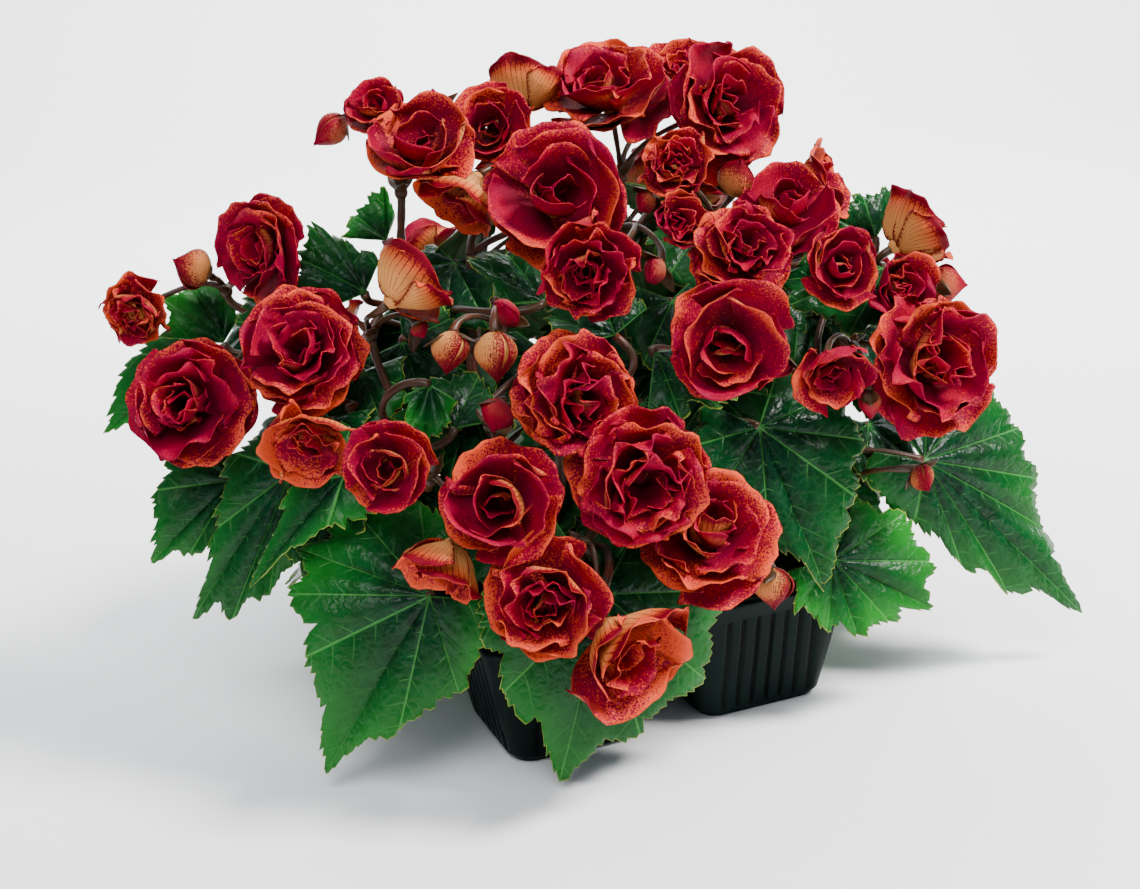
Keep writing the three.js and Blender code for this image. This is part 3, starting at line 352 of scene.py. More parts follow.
# Begonia leaf: leathery green with a wet gloss above, duller and paler below. Main veins run to the
# lobes and curved branches leave them, both paler. Between them a fine net puffs the skin into
# fields, which shows in the gloss more than in the colour. The rim is thin and yellow-green. The
# top is painted in shade near the hub, where the blooms above shade it, and painted light, a brighter
# green, towards the rim, as the value tone says.
leafLook = {
    # `bright` is the green of painted light, towards a leaf's rim.
    "deep": "#00100B", "green": "#002A17", "bright": "#18681C", "vein": "#4A9444", "rim": "#A0A83C",
    "under": "#3E6B3A", "underVein": "#6B3A2E", "mottle": 9, "net": 4.6, "netDepth": 0.8,
    "stray": 5, "strayReach": 6, "veinGroove": 0.35, "swell": 7, "swellDepth": 1.2, "wet": 14, "gloss": 0.17,
    "lightDepth": 1.0,
}


def leafTissue():
    look = leafLook
    material, tree, shader = newMaterial("begonia leaf, glossy leathery green")
    side, run, share = value(tree, "veinSide"), value(tree, "veinRun"), value(tree, "veinShare")
    edge = value(tree, "edge")
    # `light` is painted light and shade: the leaf's top is darker near the hub and brighter towards the rim.
    light, front = value(tree, "tone"), value(tree, "front")
    mottle = noise(tree, look["mottle"], 4)
    green = blend(tree, ramp(tree, mottle, 0.3, 0.7), colour(look["deep"]), colour(look["green"]))
    green = blend(tree, light, green, colour(look["bright"]))
    mainVein = maths(tree, "SUBTRACT", 1.0, ramp(tree, side, 0.15, 0.75))
    line = maths(tree, "ABSOLUTE", maths(tree, "SUBTRACT", maths(tree, "FRACT", run), 0.5))
    branch = maths(tree, "SUBTRACT", 1.0, ramp(tree, line, 0.01, 0.05))
    fading = maths(tree, "SUBTRACT", 1.0, ramp(tree, share, 0.35, 0.8))
    branch = maths(tree, "MULTIPLY", branch, fading)
    place = addNode(tree, "ShaderNodeTexCoord").outputs["Object"]
    inputs = {"Vector": place, "Scale": 1 / (look["stray"] * mm), "Detail": 3}
    stray = addNode(tree, "ShaderNodeTexNoise", inputs).outputs["Color"]
    inputs = {0: stray, 1: [look["strayReach"] * mm] * 3, 2: place}
    strayed = addNode(tree, "ShaderNodeVectorMath", inputs, operation="MULTIPLY_ADD").outputs[0]
    inputs = {"Vector": strayed, "Scale": 1 / (look["net"] * mm)}
    cells = addNode(tree, "ShaderNodeTexVoronoi", inputs, feature="DISTANCE_TO_EDGE")
    net = maths(tree, "SUBTRACT", 1.0, ramp(tree, cells.outputs["Distance"], 0.0, 0.1))
    veins = maths(tree, "MAXIMUM", mainVein, maths(tree, "MULTIPLY", branch, 0.5))
    pale = maths(tree, "MAXIMUM", maths(tree, "MULTIPLY", veins, 0.5), maths(tree, "MULTIPLY", net, 0.05))
    top = blend(tree, pale, green, colour(look["vein"]))
    rimShare = ramp(tree, edge, 0.955, 1.0)
    top = blend(tree, maths(tree, "MULTIPLY", rimShare, 0.75), top, colour(look["rim"]))
    under = blend(tree, maths(tree, "MULTIPLY", veins, 0.5), colour(look["under"]), colour(look["underVein"]))
    tree.links.new(blend(tree, front, under, top), shader.inputs["Base Color"])
    wet = ramp(tree, noise(tree, look["wet"], 3), 0.3, 0.7)
    rough = maths(tree, "MULTIPLY_ADD", wet, 0.2, 0.2)
    rough = maths(tree, "MULTIPLY_ADD", maths(tree, "SUBTRACT", 1.0, front), 0.25, rough)
    tree.links.new(rough, shader.inputs["Roughness"])
    relief = bump(tree, cells.outputs["Distance"], look["netDepth"], 0.6)
    relief = bump(tree, maths(tree, "SUBTRACT", 1.0, veins), look["veinGroove"], 0.6, relief)
    relief = bump(tree, noise(tree, look["swell"], 2), look["swellDepth"], 0.6, relief)
    tree.links.new(relief, shader.inputs["Normal"])
    shader.inputs["IOR"].default_value = 1.42
    shader.inputs["Specular IOR Level"].default_value = look["gloss"]
    shader.inputs["Subsurface Weight"].default_value = 0.04
    shader.inputs["Subsurface Radius"].default_value = (0.4, 1.0, 0.2)
    shader.inputs["Subsurface Scale"].default_value = look["lightDepth"] * mm
    return material


# Begonia stem: smooth watery skin, dark red-brown low down and olive brown near its tips, with pale
# flecks, red blushes and a faint grain.
stemLook = {
    "old": "#3A0F0A", "young": "#38220C", "pale": "#544322", "blush": "#6A2418",
    "mottle": 7, "fleck": 1.6, "blushSize": 12, "grain": 1.1, "grainDepth": 0.15, "rough": 0.4,
    "lightDepth": 1.5,
}


def stemSkin():
    look = stemLook
    material, tree, shader = newMaterial("begonia stem, watery skin")
    age = maths(tree, "SUBTRACT", value(tree, "tone"), 0.25)
    age = maths(tree, "MULTIPLY_ADD", noise(tree, look["mottle"], 3), 0.5, age)
    body = blend(tree, ramp(tree, age, 0.2, 0.75), colour(look["old"]), colour(look["young"]))
    fleck = ramp(tree, noise(tree, look["fleck"], 2), 0.45, 0.8)
    body = blend(tree, maths(tree, "MULTIPLY", fleck, 0.4), body, colour(look["pale"]))
    blush = ramp(tree, noise(tree, look["blushSize"], 2), 0.5, 0.75)
    body = blend(tree, maths(tree, "MULTIPLY", blush, 0.5), body, colour(look["blush"]))
    tree.links.new(body, shader.inputs["Base Color"])
    relief = bump(tree, noise(tree, look["grain"], 2), look["grainDepth"], 0.5)
    tree.links.new(relief, shader.inputs["Normal"])
    shader.inputs["Roughness"].default_value = look["rough"]
    shader.inputs["IOR"].default_value = 1.42
    shader.inputs["Subsurface Weight"].default_value = 0.15
    shader.inputs["Subsurface Radius"].default_value = (1.0, 0.5, 0.3)
    shader.inputs["Subsurface Scale"].default_value = look["lightDepth"] * mm
    return material


# Black-green polystyrene sheet, vacuum formed: an even satin skin with a faint orange-peel, duller
# and paler in patches where it was drawn thin, painted in shade nearly black in the grooves, with a trace of
# dust.
packLook = {
    # `groove` is the colour of the painted shade down in the grooves.
    "body": "#010F0C", "worn": "#041512", "dust": "#8A8578", "groove": "#010202", "drawn": 30,
    "dustSize": 1.4, "dustShare": 0.04, "peel": 0.9, "peelDepth": 0.03, "rough": 0.38, "gloss": 0.08,
}


def formedSheet():
    look = packLook
    material, tree, shader = newMaterial("vacuum formed polystyrene, satin black-green")
    drawn = ramp(tree, noise(tree, look["drawn"], 3), 0.35, 0.7)
    body = blend(tree, maths(tree, "MULTIPLY", drawn, 0.6), colour(look["body"]), colour(look["worn"]))
    dust = ramp(tree, noise(tree, look["dustSize"], 5, 0.7), 0.62, 0.8)
    body = blend(tree, maths(tree, "MULTIPLY", dust, look["dustShare"]), body, colour(look["dust"]))
    # Painted shade: the grooves are darkened to nearly black.
    body = blend(tree, value(tree, "groove"), body, colour(look["groove"]))
    tree.links.new(body, shader.inputs["Base Color"])
    tree.links.new(maths(tree, "MULTIPLY_ADD", drawn, 0.14, look["rough"]), shader.inputs["Roughness"])
    tree.links.new(bump(tree, noise(tree, look["peel"], 2), look["peelDepth"], 0.5), shader.inputs["Normal"])
    shader.inputs["IOR"].default_value = 1.4
    shader.inputs["Specular IOR Level"].default_value = look["gloss"]
    return material


# Damp peat compost: matt, crumbly dark brown with paler crumbs and a few grains of grit.
peatLook = {
    "damp": "#1D130C", "dry": "#4A3323", "grit": "#9A8C74", "crumb": 2.4, "crumbDepth": 1.2, "gritSize": 1.3,
    "rough": 0.92,
}


def peat():
    look = peatLook
    material, tree, shader = newMaterial("peat compost, damp and crumbly")
    crumbs = noise(tree, look["crumb"], 6, 0.7)
    body = blend(tree, ramp(tree, crumbs, 0.35, 0.7), colour(look["damp"]), colour(look["dry"]))
    grit = ramp(tree, noise(tree, look["gritSize"], 2), 0.7, 0.76)
    body = blend(tree, maths(tree, "MULTIPLY", grit, 0.7), body, colour(look["grit"]))
    tree.links.new(body, shader.inputs["Base Color"])
    tree.links.new(bump(tree, crumbs, look["crumbDepth"], 0.9), shader.inputs["Normal"])
    shader.inputs["Roughness"].default_value = look["rough"]
    return material


petal, leafSkin, stemTissue, polystyrene, compost = (
    petalTissue(), leafTissue(), stemSkin(), formedSheet(), peat())
print("materials made")

# ---- the pack of cells

pack = {
    "height": 60, "pitch": 88, "base": 61, "top": 84, "corner": 11, "wall": 2, "foot": 3,
    "footInset": 2, "lip": 2.5, "rim": 2.5, "band": 7, "groovePitch": 7, "grooveWidth": 2.4,
    "grooveDepth": 1.5, "drain": 5, "flatSteps": 130, "cornerSteps": 8,
}
cellSides = {"front_left": (-1, -1), "front_right": (1, -1), "back_left": (-1, 1), "back_right": (1, 1)}


# The middle of a cell's foot.
def cellMiddle(name):
    return packMiddle + np.array([*cellSides[name], 0]) * pack["pitch"] / 2


# Half a cell's width at a height: it grows evenly from the foot to the rim.
def cellHalf(z):
    return (pack["base"] + (pack["top"] - pack["base"]) * z / pack["height"]) / 2


# A square with rounded corners, as points and outward directions: straight sides of `flatSteps`
# lengths and quarter circles of `cornerSteps`, counter-clockwise from the middle of the right side.
def roundedSquare(half, corner, flatSteps, cornerSteps):
    flat = half - corner
    along = np.linspace(-flat, flat, flatSteps, endpoint=False)
    angle = np.linspace(0, np.pi / 2, cornerSteps, endpoint=False)
    x = np.concatenate([np.full(flatSteps, half), flat + corner * np.cos(angle)])
    y = np.concatenate([along, flat + corner * np.sin(angle)])
    outX = np.concatenate([np.ones(flatSteps), np.cos(angle)])
    outY = np.concatenate([np.zeros(flatSteps), np.sin(angle)])
    side, out = np.stack([x, y], -1), np.stack([outX, outY], -1)
    turns = [np.array([[c, -s], [s, c]]) for c, s in ((1, 0), (0, 1), (-1, 0), (0, -1))]
    return np.concatenate([side @ t.T for t in turns]), np.concatenate([out @ t.T for t in turns])


# One cell from the drain hole out under the foot, up the ribbed wall, out round its quarter of the
# rim, in over the lip and down inside to the hole again. The grooves are a row of dips along the
# flat walls, each the upper half of a cosine.
def cellRings(sx, sy):
    p = pack
    steps = (p["flatSteps"], p["cornerSteps"])
    rimFoot, bandFoot, inset = p["height"] - p["rim"], p["height"] - p["rim"] - p["band"], p["footInset"]

    # One level of the cell, with the grooves `groove` of their full depth.
    def ring(half, corner, z, groove=0.0):
        points, out = roundedSquare(half, corner, *steps)
        along = np.where(np.abs(out[:, 0]) > 0.9, points[:, 1], points[:, 0])
        isFlat = (np.abs(out).max(1) > 0.999) & (np.abs(along) < 3.5 * p["groovePitch"])
        phase = (along / p["groovePitch"] + 0.5) % 1 - 0.5
        dip = np.clip(np.cos(np.pi * phase * p["groovePitch"] / p["grooveWidth"]), 0, 1)
        dip *= (np.abs(phase) * p["groovePitch"] < p["grooveWidth"] / 2) & isFlat
        points = points - out * (groove * p["grooveDepth"] * dip)[:, None]
        return np.column_stack([points, np.full(len(points), z), groove * dip])

    # One level of the rim: straight to the next cells inside the pack, round at its outer corner,
    # and drawn in by `pull` along its outer edges.
    def border(z, pull=0.0):
        points, _ = roundedSquare(p["pitch"] / 2, 3.0, *steps)
        q = points / (p["pitch"] / 2)
        q = q / np.abs(q).max(1, keepdims=True)
        outer = p["top"] / 2 + p["lip"]
        reach = np.where(q * [sx, sy] > 0, outer, p["pitch"] / 2)
        q = q * reach
        radius = p["corner"] + p["lip"]
        centre = np.array([sx, sy]) * (outer - radius)
        away = (q - centre) * [sx, sy]
        isCorner = (away > 0).all(1)
        rounded = centre + unit(q - centre) * radius
        q = np.where(isCorner[:, None], rounded, q)
        isOuter = (q * [sx, sy] > p["pitch"] / 2 - 1e-6).any(1) | isCorner
        q = q - (unit(q) * pull) * isOuter[:, None]
        return np.column_stack([q, np.full(len(q), z), np.zeros(len(q))])

    corner = p["corner"]
    rings = [
        ring(p["drain"], p["drain"], 0),
        ring(cellHalf(0) - inset - 0.8, corner - inset - 0.8, 0),
        ring(cellHalf(0) - inset, corner - inset, 0.8),
        ring(cellHalf(p["foot"]) - inset, corner - inset, p["foot"] - 0.3),
        ring(cellHalf(p["foot"]) - 0.5, corner - 0.5, p["foot"]),
        ring(cellHalf(p["foot"]), corner, p["foot"] + 0.5),
    ]
    for z, groove in [(4.2, 0), (5.2, 0.8), (6.4, 1), *((v, 1) for v in np.linspace(12, 44, 6)),
                      (bandFoot - 1.6, 1), (bandFoot - 0.6, 0.7), (bandFoot, 0)]:
        rings.append(ring(cellHalf(z), corner, z, groove))
    rings.append(ring(cellHalf(bandFoot + 0.5) + 0.25, corner, bandFoot + 0.7))
    rings.append(ring(cellHalf(rimFoot) + 0.1, corner, rimFoot - 0.4))
    rings.append(ring(cellHalf(rimFoot) + 0.5, corner, rimFoot))
    rings += [border(rimFoot, 0.6), border(rimFoot + 0.5)]
    rings += [border(p["height"] - 0.7), border(p["height"], 0.6)]
    wall = p["wall"]
    rings += [
        ring(cellHalf(p["height"]) - wall + 0.7, corner - wall + 0.7, p["height"]),
        ring(cellHalf(p["height"]) - wall, corner - wall, p["height"] - 0.7),
        ring(cellHalf(p["foot"]) - wall - inset, corner - wall - inset, p["foot"] + 1),
        ring(cellHalf(0) - wall - inset - 1, corner - wall - inset - 1, wall),
        ring(p["drain"], p["drain"], wall),
    ]
    return np.stack(rings)


# Four cells side by side become one body: their rims are merged, and the walls that two rims share
# are taken out.
def makePack():
    pile = newPile()
    for name, (sx, sy) in cellSides.items():
        rings = cellRings(sx, sy)
        closed = np.concatenate([rings, rings[:1]])
        # The value groove carries how deep each groove is, for the painted shade in it.
        addRings(pile, closed[..., :3] + cellMiddle(name), {"groove": closed[..., 3]}, isCapped=False)
    piece = meshFrom("pack_of_cells", pile, [polystyrene])
    work = bmesh.new()
    work.from_mesh(piece.data)
    bmesh.ops.remove_doubles(work, verts=work.verts, dist=0.01 * mm)
    seam = [f for f in work.faces if all(len(e.link_faces) > 2 for e in f.edges if e.calc_length() > 2 * mm)
            and abs(f.normal.z) < 0.1 and any(len(e.link_faces) > 2 for e in f.edges)]
    bmesh.ops.delete(work, geom=seam, context="FACES")
    bmesh.ops.recalc_face_normals(work, faces=work.faces)
    work.to_mesh(piece.data)
    work.free()
    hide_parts("cell_pack")


makePack()
print("pack made")

# `crumbs` are the lumps' sizes and heights.
soil = {"level": 53, "crown": 3, "rings": 46, "lumps": 1.5, "crumbs": ((9, 1.6), (3.4, 1.4), (1.6, 0.7))}


# Smooth lumps in a plane: the mean of sines across it in seeded directions, from -1 to 1.
def lumps(x, y, size, seed, count=9):
    rng = np.random.default_rng(seed)
    total = np.zeros_like(x)
    for turn, phase, scale in zip(rng.uniform(0, 2 * np.pi, count), rng.uniform(0, 6.28, count),
                                  rng.uniform(0.6, 1.7, count)):
        total += np.sin((x * np.cos(turn) + y * np.sin(turn)) * 2 * np.pi / (size * scale) + phase)
    return total / count


# The compost in a cell: rounded squares that shrink to the middle, domed, with crumbs raised as
# lumps of three sizes, over plain walls and a flat floor.
def makeSoil(name, seed):
    middle = cellMiddle(name)
    low, level = pack["wall"] + 0.6, soil["level"]
    steps = (30, 6)
    rings = []
    for z in (low, level):
        slope = pack["wall"] + pack["footInset"] * (1 - z / pack["height"]) + 0.35
        points, _ = roundedSquare(cellHalf(z) - slope, pack["corner"] - 3.5, *steps)
        rings.append(np.column_stack([points, np.full(len(points), z)]))
    rim = rings[-1]
    for share in np.linspace(0.985, 0.03, soil["rings"]):
        ring = rim * [share, share, 1]
        x, y = ring[:, 0], ring[:, 1]
        crumbs = sum(lumps(x, y, size, seed + k) * high for k, (size, high) in enumerate(soil["crumbs"]))
        ring[:, 2] += soil["crown"] * (1 - share ** 2) + soil["lumps"] * crumbs * min(1, (1 - share) * 12)
        rings.append(ring)
    pile = newPile()
    addRings(pile, np.stack(rings) + middle, {"tone": 0.0})
    piece = meshFrom("compost_" + name, pile, [compost])
    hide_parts("soil_" + name)


for number, name in enumerate(cellSides):
    makeSoil(name, 20 + 3 * number)
print("compost made")

# ---- what grows where, as in the solids

# The plants, one to a cell, and the tips of their shoots.
plants = {
    "front_left": [[470, 350, 45], [560, 440, 78], [400, 430, 55]],
    "front_right": [[700, 340, 40], [820, 370, 35], [770, 470, 55]],
    "back_left": [[310, 340, 8], [401, 250, 18], [470, 250, 0]],
    "back_right": [[622, 200, -5], [740, 230, 5], [600, 260, -50], [760, 300, -60]],
}

# Leaves: the hub that the veins spread from and the tips that they run to.
seenLeaves = {
    "apron_left": {
        "plant": "front_left",
        "toothed": True,
        "hub": [430, 596, 106],
        "tips": [
            [488, 600, 108], [459, 695, 115], [400, 730, 117], [324, 773, 112], [309, 655, 106],
            [288, 594, 98], [302, 550, 82], [350, 505, 72], [420, 500, 74], [470, 530, 84],
        ],
    },
    "apron_middle": {
        "plant": "front_left",
        "toothed": True,
        "hub": [603, 594, 112],
        "tips": [
            [545, 505, 92], [478, 625, 118], [505, 690, 120], [562, 781, 122], [639, 730, 114],
            [705, 679, 102], [727, 590, 88], [650, 500, 80],
        ],
    },
    "apron_inner": {
        "plant": "front_right",
        "hub": [650, 510, 62],
        "tips": [
            [575, 525, 66], [600, 580, 84], [655, 598, 92], [705, 560, 80], [712, 500, 56],
            [660, 465, 42],
        ],
    },
    "apron_back": {
        "plant": "front_left",
        "hub": [515, 525, 60],
        "tips": [
            [440, 520, 58], [455, 575, 78], [515, 600, 88], [575, 560, 76], [570, 500, 56],
            [500, 475, 44],
        ],
    },
    "left_low": {
        "plant": "back_left",
        "toothed": True,
        "hub": [235, 480, 44],
        "tips": [
            [245, 540, 52], [190, 553, 52], [149, 563, 50], [157, 490, 42], [173, 447, 34],
            [230, 425, 28],
        ],
    },
    "left_middle": {
        "plant": "back_left",
        "toothed": True,
        "hub": [292, 470, 60],
        "tips": [
            [318, 530, 64], [299, 556, 66], [267, 596, 68], [233, 617, 68], [191, 618, 64],
            [214, 530, 58], [233, 453, 50], [285, 425, 46],
        ],
    },
    "left_high": {
        "plant": "front_left",
        "toothed": True,
        "hub": [345, 475, 82],
        "tips": [
            [385, 505, 90], [329, 524, 94], [248, 588, 90], [292, 482, 78], [300, 440, 68],
            [350, 420, 64],
        ],
    },
    "left_far": {
        "plant": "back_left",
        "hub": [190, 365, 18],
        "tips": [[155, 420, 26], [103, 434, 18], [133, 350, 8], [175, 325, 2], [220, 330, 4]],
    },
    "left_bright": {
        "plant": "back_left",
        "hub": [223, 343, 14],
        "tips": [[165, 338, 20], [166, 300, 14], [190, 279, 6], [222, 280, 0], [240, 315, 4]],
    },
    "left_olive": {
        "plant": "back_left",
        "hub": [365, 293, 34],
        "tips": [
            [320, 312, 42], [290, 290, 38], [298, 256, 30], [307, 222, 20], [345, 240, 16],
            [382, 256, 18],
        ],
    },
    "left_inner": {
        "plant": "back_left",
        "hub": [300, 325, 40],
        "tips": [[250, 350, 42], [233, 320, 36], [247, 300, 28], [285, 288, 24]],
    },
    "pale_top": {
        "plant": "back_left",
        "hub": [386, 240, 6],
        "tips": [[344, 238, 10], [352, 212, 6], [384, 187, 0], [397, 212, 0]],
    },
    "right_great": {
        "plant": "front_right",
        "toothed": True,
        "hub": [924, 460, 36],
        "tips": [
            [863, 450, 38], [917, 520, 42], [961, 567, 40], [1012, 592, 34], [1083, 612, 22],
            [1047, 528, 14], [1039, 478, 10], [1020, 428, 4], [990, 375, -2], [930, 380, 2],
            [880, 400, 18],
        ],
    },
    "right_middle": {
        "plant": "front_right",
        "toothed": True,
        "hub": [759, 427, 70],
        "tips": [
            [703, 402, 62], [696, 445, 74], [715, 500, 82], [770, 543, 86], [827, 592, 86],
            [857, 496, 74], [863, 440, 60], [840, 390, 50], [775, 375, 52],
        ],
    },
    "right_low": {
        "plant": "front_right",
        "toothed": True,
        "hub": [832, 560, 62],
        "tips": [
            [845, 500, 46], [905, 513, 46], [934, 561, 50], [931, 608, 56], [890, 621, 66],
            [857, 636, 72], [829, 629, 76], [797, 612, 76], [792, 570, 70],
        ],
    },
    "right_crest": {
        "plant": "back_right",
        "hub": [876, 238, 2],
        "tips": [[846, 240, 8], [834, 218, 4], [862, 193, -4], [897, 187, -12], [888, 212, -8]],
    },
    "right_upper": {
        "plant": "front_right",
        "hub": [885, 268, 26],
        "tips": [[906, 322, 38], [852, 332, 44], [786, 306, 48], [776, 280, 40], [805, 250, 28]],
    },
    "heart_right": {
        "plant": "front_right",
        "hub": [655, 352, 66],
        "tips": [[648, 408, 90], [680, 415, 92], [718, 405, 88], [741, 400, 82], [705, 345, 62]],
    },
    "heart_bright": {
        "plant": "front_left",
        "hub": [430, 385, 78],
        "tips": [[403, 395, 82], [408, 430, 88], [425, 443, 90], [449, 430, 88], [454, 398, 82]],
    },
    "heart_high": {
        "plant": "back_left",
        "hub": [545, 302, 44],
        "tips": [[503, 305, 50], [465, 258, 36], [505, 248, 26], [545, 262, 24]],
    },
    "heart_low": {
        "plant": "front_left",
        "hub": [455, 440, 66],
        "tips": [[415, 470, 74], [395, 430, 60], [425, 395, 48], [480, 385, 44], [505, 430, 60]],
    },
    "heart_left": {
        "plant": "back_left",
        "hub": [405, 345, 20],
        "tips": [
            [345, 372, 24], [372, 415, 30], [430, 420, 32], [470, 375, 26], [455, 320, 14],
            [400, 300, 8],
        ],
    },
    "heart_middle": {
        "plant": "front_left",
        "hub": [615, 335, 40],
        "tips": [[560, 350, 54], [545, 315, 40], [600, 290, 24], [650, 305, 30]],
    },
}

# Leaves on the far side, by the common shape: plant, turn round the pack in degrees, distance out,
# height, length, droop and, for a smaller leaf, how many of the lobes it has.
hiddenLeaves = {
    "back_1": ("back_left", 258, 92, 92, 80, 34),
    "back_2": ("back_left", 228, 94, 96, 86, 40),
    "back_3": ("back_left", 196, 88, 100, 78, 36),
    "back_4": ("back_right", 166, 94, 104, 86, 34),
    "back_5": ("back_right", 136, 104, 96, 84, 36),
    "back_6": ("back_right", 106, 104, 86, 82, 34),
    "back_high_1": ("back_left", 212, 66, 150, 56, 14, 5),
    "back_high_2": ("back_right", 150, 74, 148, 58, 14, 5),
}

# The common leaf's veins: their angle from the middle one and their length.
lobes = [
    [-128, 0.5], [-84, 0.62], [-42, 0.8], [0, 1], [36, 0.86], [80, 0.6], [122, 0.52],
]

# Forks of the flower stalks: plant and place.
forks = {
    "crest_left": ("back_left", [401, 192, 22]),
    "crest_middle": ("back_left", [480, 205, 12]),
    "crest_right": ("back_right", [621, 176, -6]),
    "brow_middle": ("back_right", [618, 235, 28]),
    "brow_right": ("back_right", [715, 225, 22]),
    "shoulder_right": ("back_right", [812, 245, 6]),
    "side_right": ("front_right", [880, 300, 8]),
    "cheek_right": ("front_right", [850, 350, 28]),
    "chest_right": ("front_right", [740, 330, 44]),
    "arm_right": ("front_right", [868, 487, 24]),
    "skirt_right": ("front_right", [735, 510, 66]),
    "chest_middle": ("front_left", [600, 430, 72]),
    "chest_left": ("front_left", [490, 425, 76]),
    "skirt_left": ("front_left", [430, 480, 84]),
    "skirt_middle": ("front_left", [585, 545, 100]),
    "heart_left": ("front_left", [371, 335, 48]),
    "heart_middle": ("front_left", [500, 330, 60]),
    "shoulder_left": ("back_left", [325, 318, 26]),
    "cheek_left": ("front_left", [352, 408, 52]),
    "arm_left": ("back_left", [226, 291, 14]),
    "hand_left": ("back_left", [258, 352, 18]),
}

# Blooms: place, the way they face (turn, tilt), width across, form and fork.
seenBlooms = {
    "crest_left_bud": ([330, 131, 22], (-62, -32), 19, "bud", "crest_left"),
    "crest_left_small": ([374, 106, 26], (-14, 42), 24, "half", "crest_left"),
    "crest_left_cup": ([422, 146, 42], (4, 48), 44, "cup", "crest_left"),
    "crest_middle_cup": ([492, 123, 30], (-6, 24), 32, "half", "crest_middle"),
    "crest_middle_back": ([527, 94, -4], (165, 50), 32, "half", "crest_middle"),
    "crest_middle_drop": ([466, 194, 44], (-52, -42), 36, "half", "crest_middle"),
    "crest_right_saucer": ([612, 100, -4], (-4, 64), 52, "open", "crest_right"),
    "crest_right_great": ([724, 108, 4], (26, 18), 50, "open", "crest_right"),
    "crest_right_back": ([684, 72, -26], (10, 62), 30, "half", "crest_right"),
    "brow_great": ([553, 203, 50], (8, 26), 57, "open", "brow_middle"),
    "brow_knob": ([676, 164, 42], (-6, 34), 27, "rosette", "brow_right"),
    "brow_back_bud": ([737, 177, 26], (24, 62), 20, "bud", "brow_right"),
    "brow_half": ([682, 224, 64], (10, 30), 24, "half", "brow_right"),
    "brow_spiral": ([590, 270, 88], (-4, 4), 36, "rosette", "brow_middle"),
    "chest_ruffle": ([738, 256, 70], (16, 26), 40, "open", "brow_right"),
    "chest_great": ([726, 338, 92], (4, 8), 46, "open", "chest_right"),
    "shoulder_cup": ([785, 214, 40], (0, 52), 42, "cup", "shoulder_right"),
    "shoulder_side": ([817, 184, 10], (68, 24), 32, "half", "shoulder_right"),
    "shoulder_round": ([842, 268, 58], (20, 16), 32, "cup", "shoulder_right"),
    "side_back": ([909, 237, 16], (112, 25), 37, "half", "side_right"),
    "side_bud": ([948, 284, 16], (88, -6), 18, "bud", "side_right"),
    "side_half": ([898, 288, 46], (24, 12), 30, "half", "side_right"),
    "side_great": ([927, 365, 58], (24, 6), 56, "open", "cheek_right"),
    "cheek_cup": ([833, 371, 76], (6, -22), 32, "cup", "cheek_right"),
    "skirt_right_bud": ([773, 588, 100], (10, -80), 19, "bud", "skirt_right"),
    "skirt_right_ruffle": ([706, 543, 108], (16, 46), 52, "open", "skirt_right"),
    "chest_middle_great": ([636, 474, 116], (2, 6), 51, "open", "chest_middle"),
    "chest_middle_ruffle": ([572, 393, 102], (22, 18), 47, "open", "chest_middle"),
    "chest_left_great": ([503, 498, 122], (-4, 22), 46, "open", "chest_left"),
    "skirt_left_cup": ([387, 467, 106], (-8, 18), 34, "cup", "skirt_left"),
    "skirt_left_drop": ([444, 562, 124], (-38, -46), 36, "half", "skirt_left"),
    "skirt_middle_rose": ([546, 597, 136], (-6, 10), 44, "rosette", "skirt_middle"),
    "skirt_middle_side": ([622, 648, 134], (38, -16), 50, "half", "skirt_middle"),
    "heart_fan": ([405, 287, 64], (118, 36), 38, "half", "heart_left"),
    "heart_hanging": ([496, 356, 92], (4, -78), 22, "bud", "heart_middle"),
    "heart_drop": ([450, 352, 84], (-24, -60), 19, "bud", "heart_middle"),
    "shoulder_left_great": ([305, 358, 66], (-4, 38), 48, "open", "shoulder_left"),
    "cheek_left_hood": ([310, 440, 88], (-8, -24), 34, "cup", "cheek_left"),
    "hand_left_great": ([195, 400, 54], (-8, 20), 52, "open", "hand_left"),
    "arm_left_knob": ([138, 310, 34], (-16, 0), 27, "rosette", "arm_left"),
    "arm_left_bud": ([192, 268, 26], (-62, 32), 19, "bud", "arm_left"),
    "arm_left_side": ([268, 253, 38], (-46, 14), 44, "open", "shoulder_left"),
}

# Closed buds that are one with their stalks, in the same order of values.
greenBuds = {
    "crest_left": ([434, 102, 10], (0, 70), 13, "bud", "crest_left"),
    "brow": ([654, 272, 76], (-30, -24), 13, "bud", "brow_middle"),
    "brow_brown": ([645, 202, 46], (-30, -30), 12, "bud", "brow_middle"),
    "chest_right": ([776, 366, 72], (-36, -36), 14, "bud", "chest_right"),
    "cheek_right": ([870, 404, 70], (6, -72), 13, "bud", "cheek_right"),
    "arm_right": ([923, 479, 58], (14, -30), 14, "bud", "arm_right"),
    "chest_left": ([497, 416, 90], (-16, -36), 16, "bud", "chest_left"),
    "heart_middle": ([506, 312, 76], (0, 40), 14, "bud", "heart_middle"),
    "heart_left": ([420, 330, 62], (40, -50), 8, "bud", "heart_left"),
}

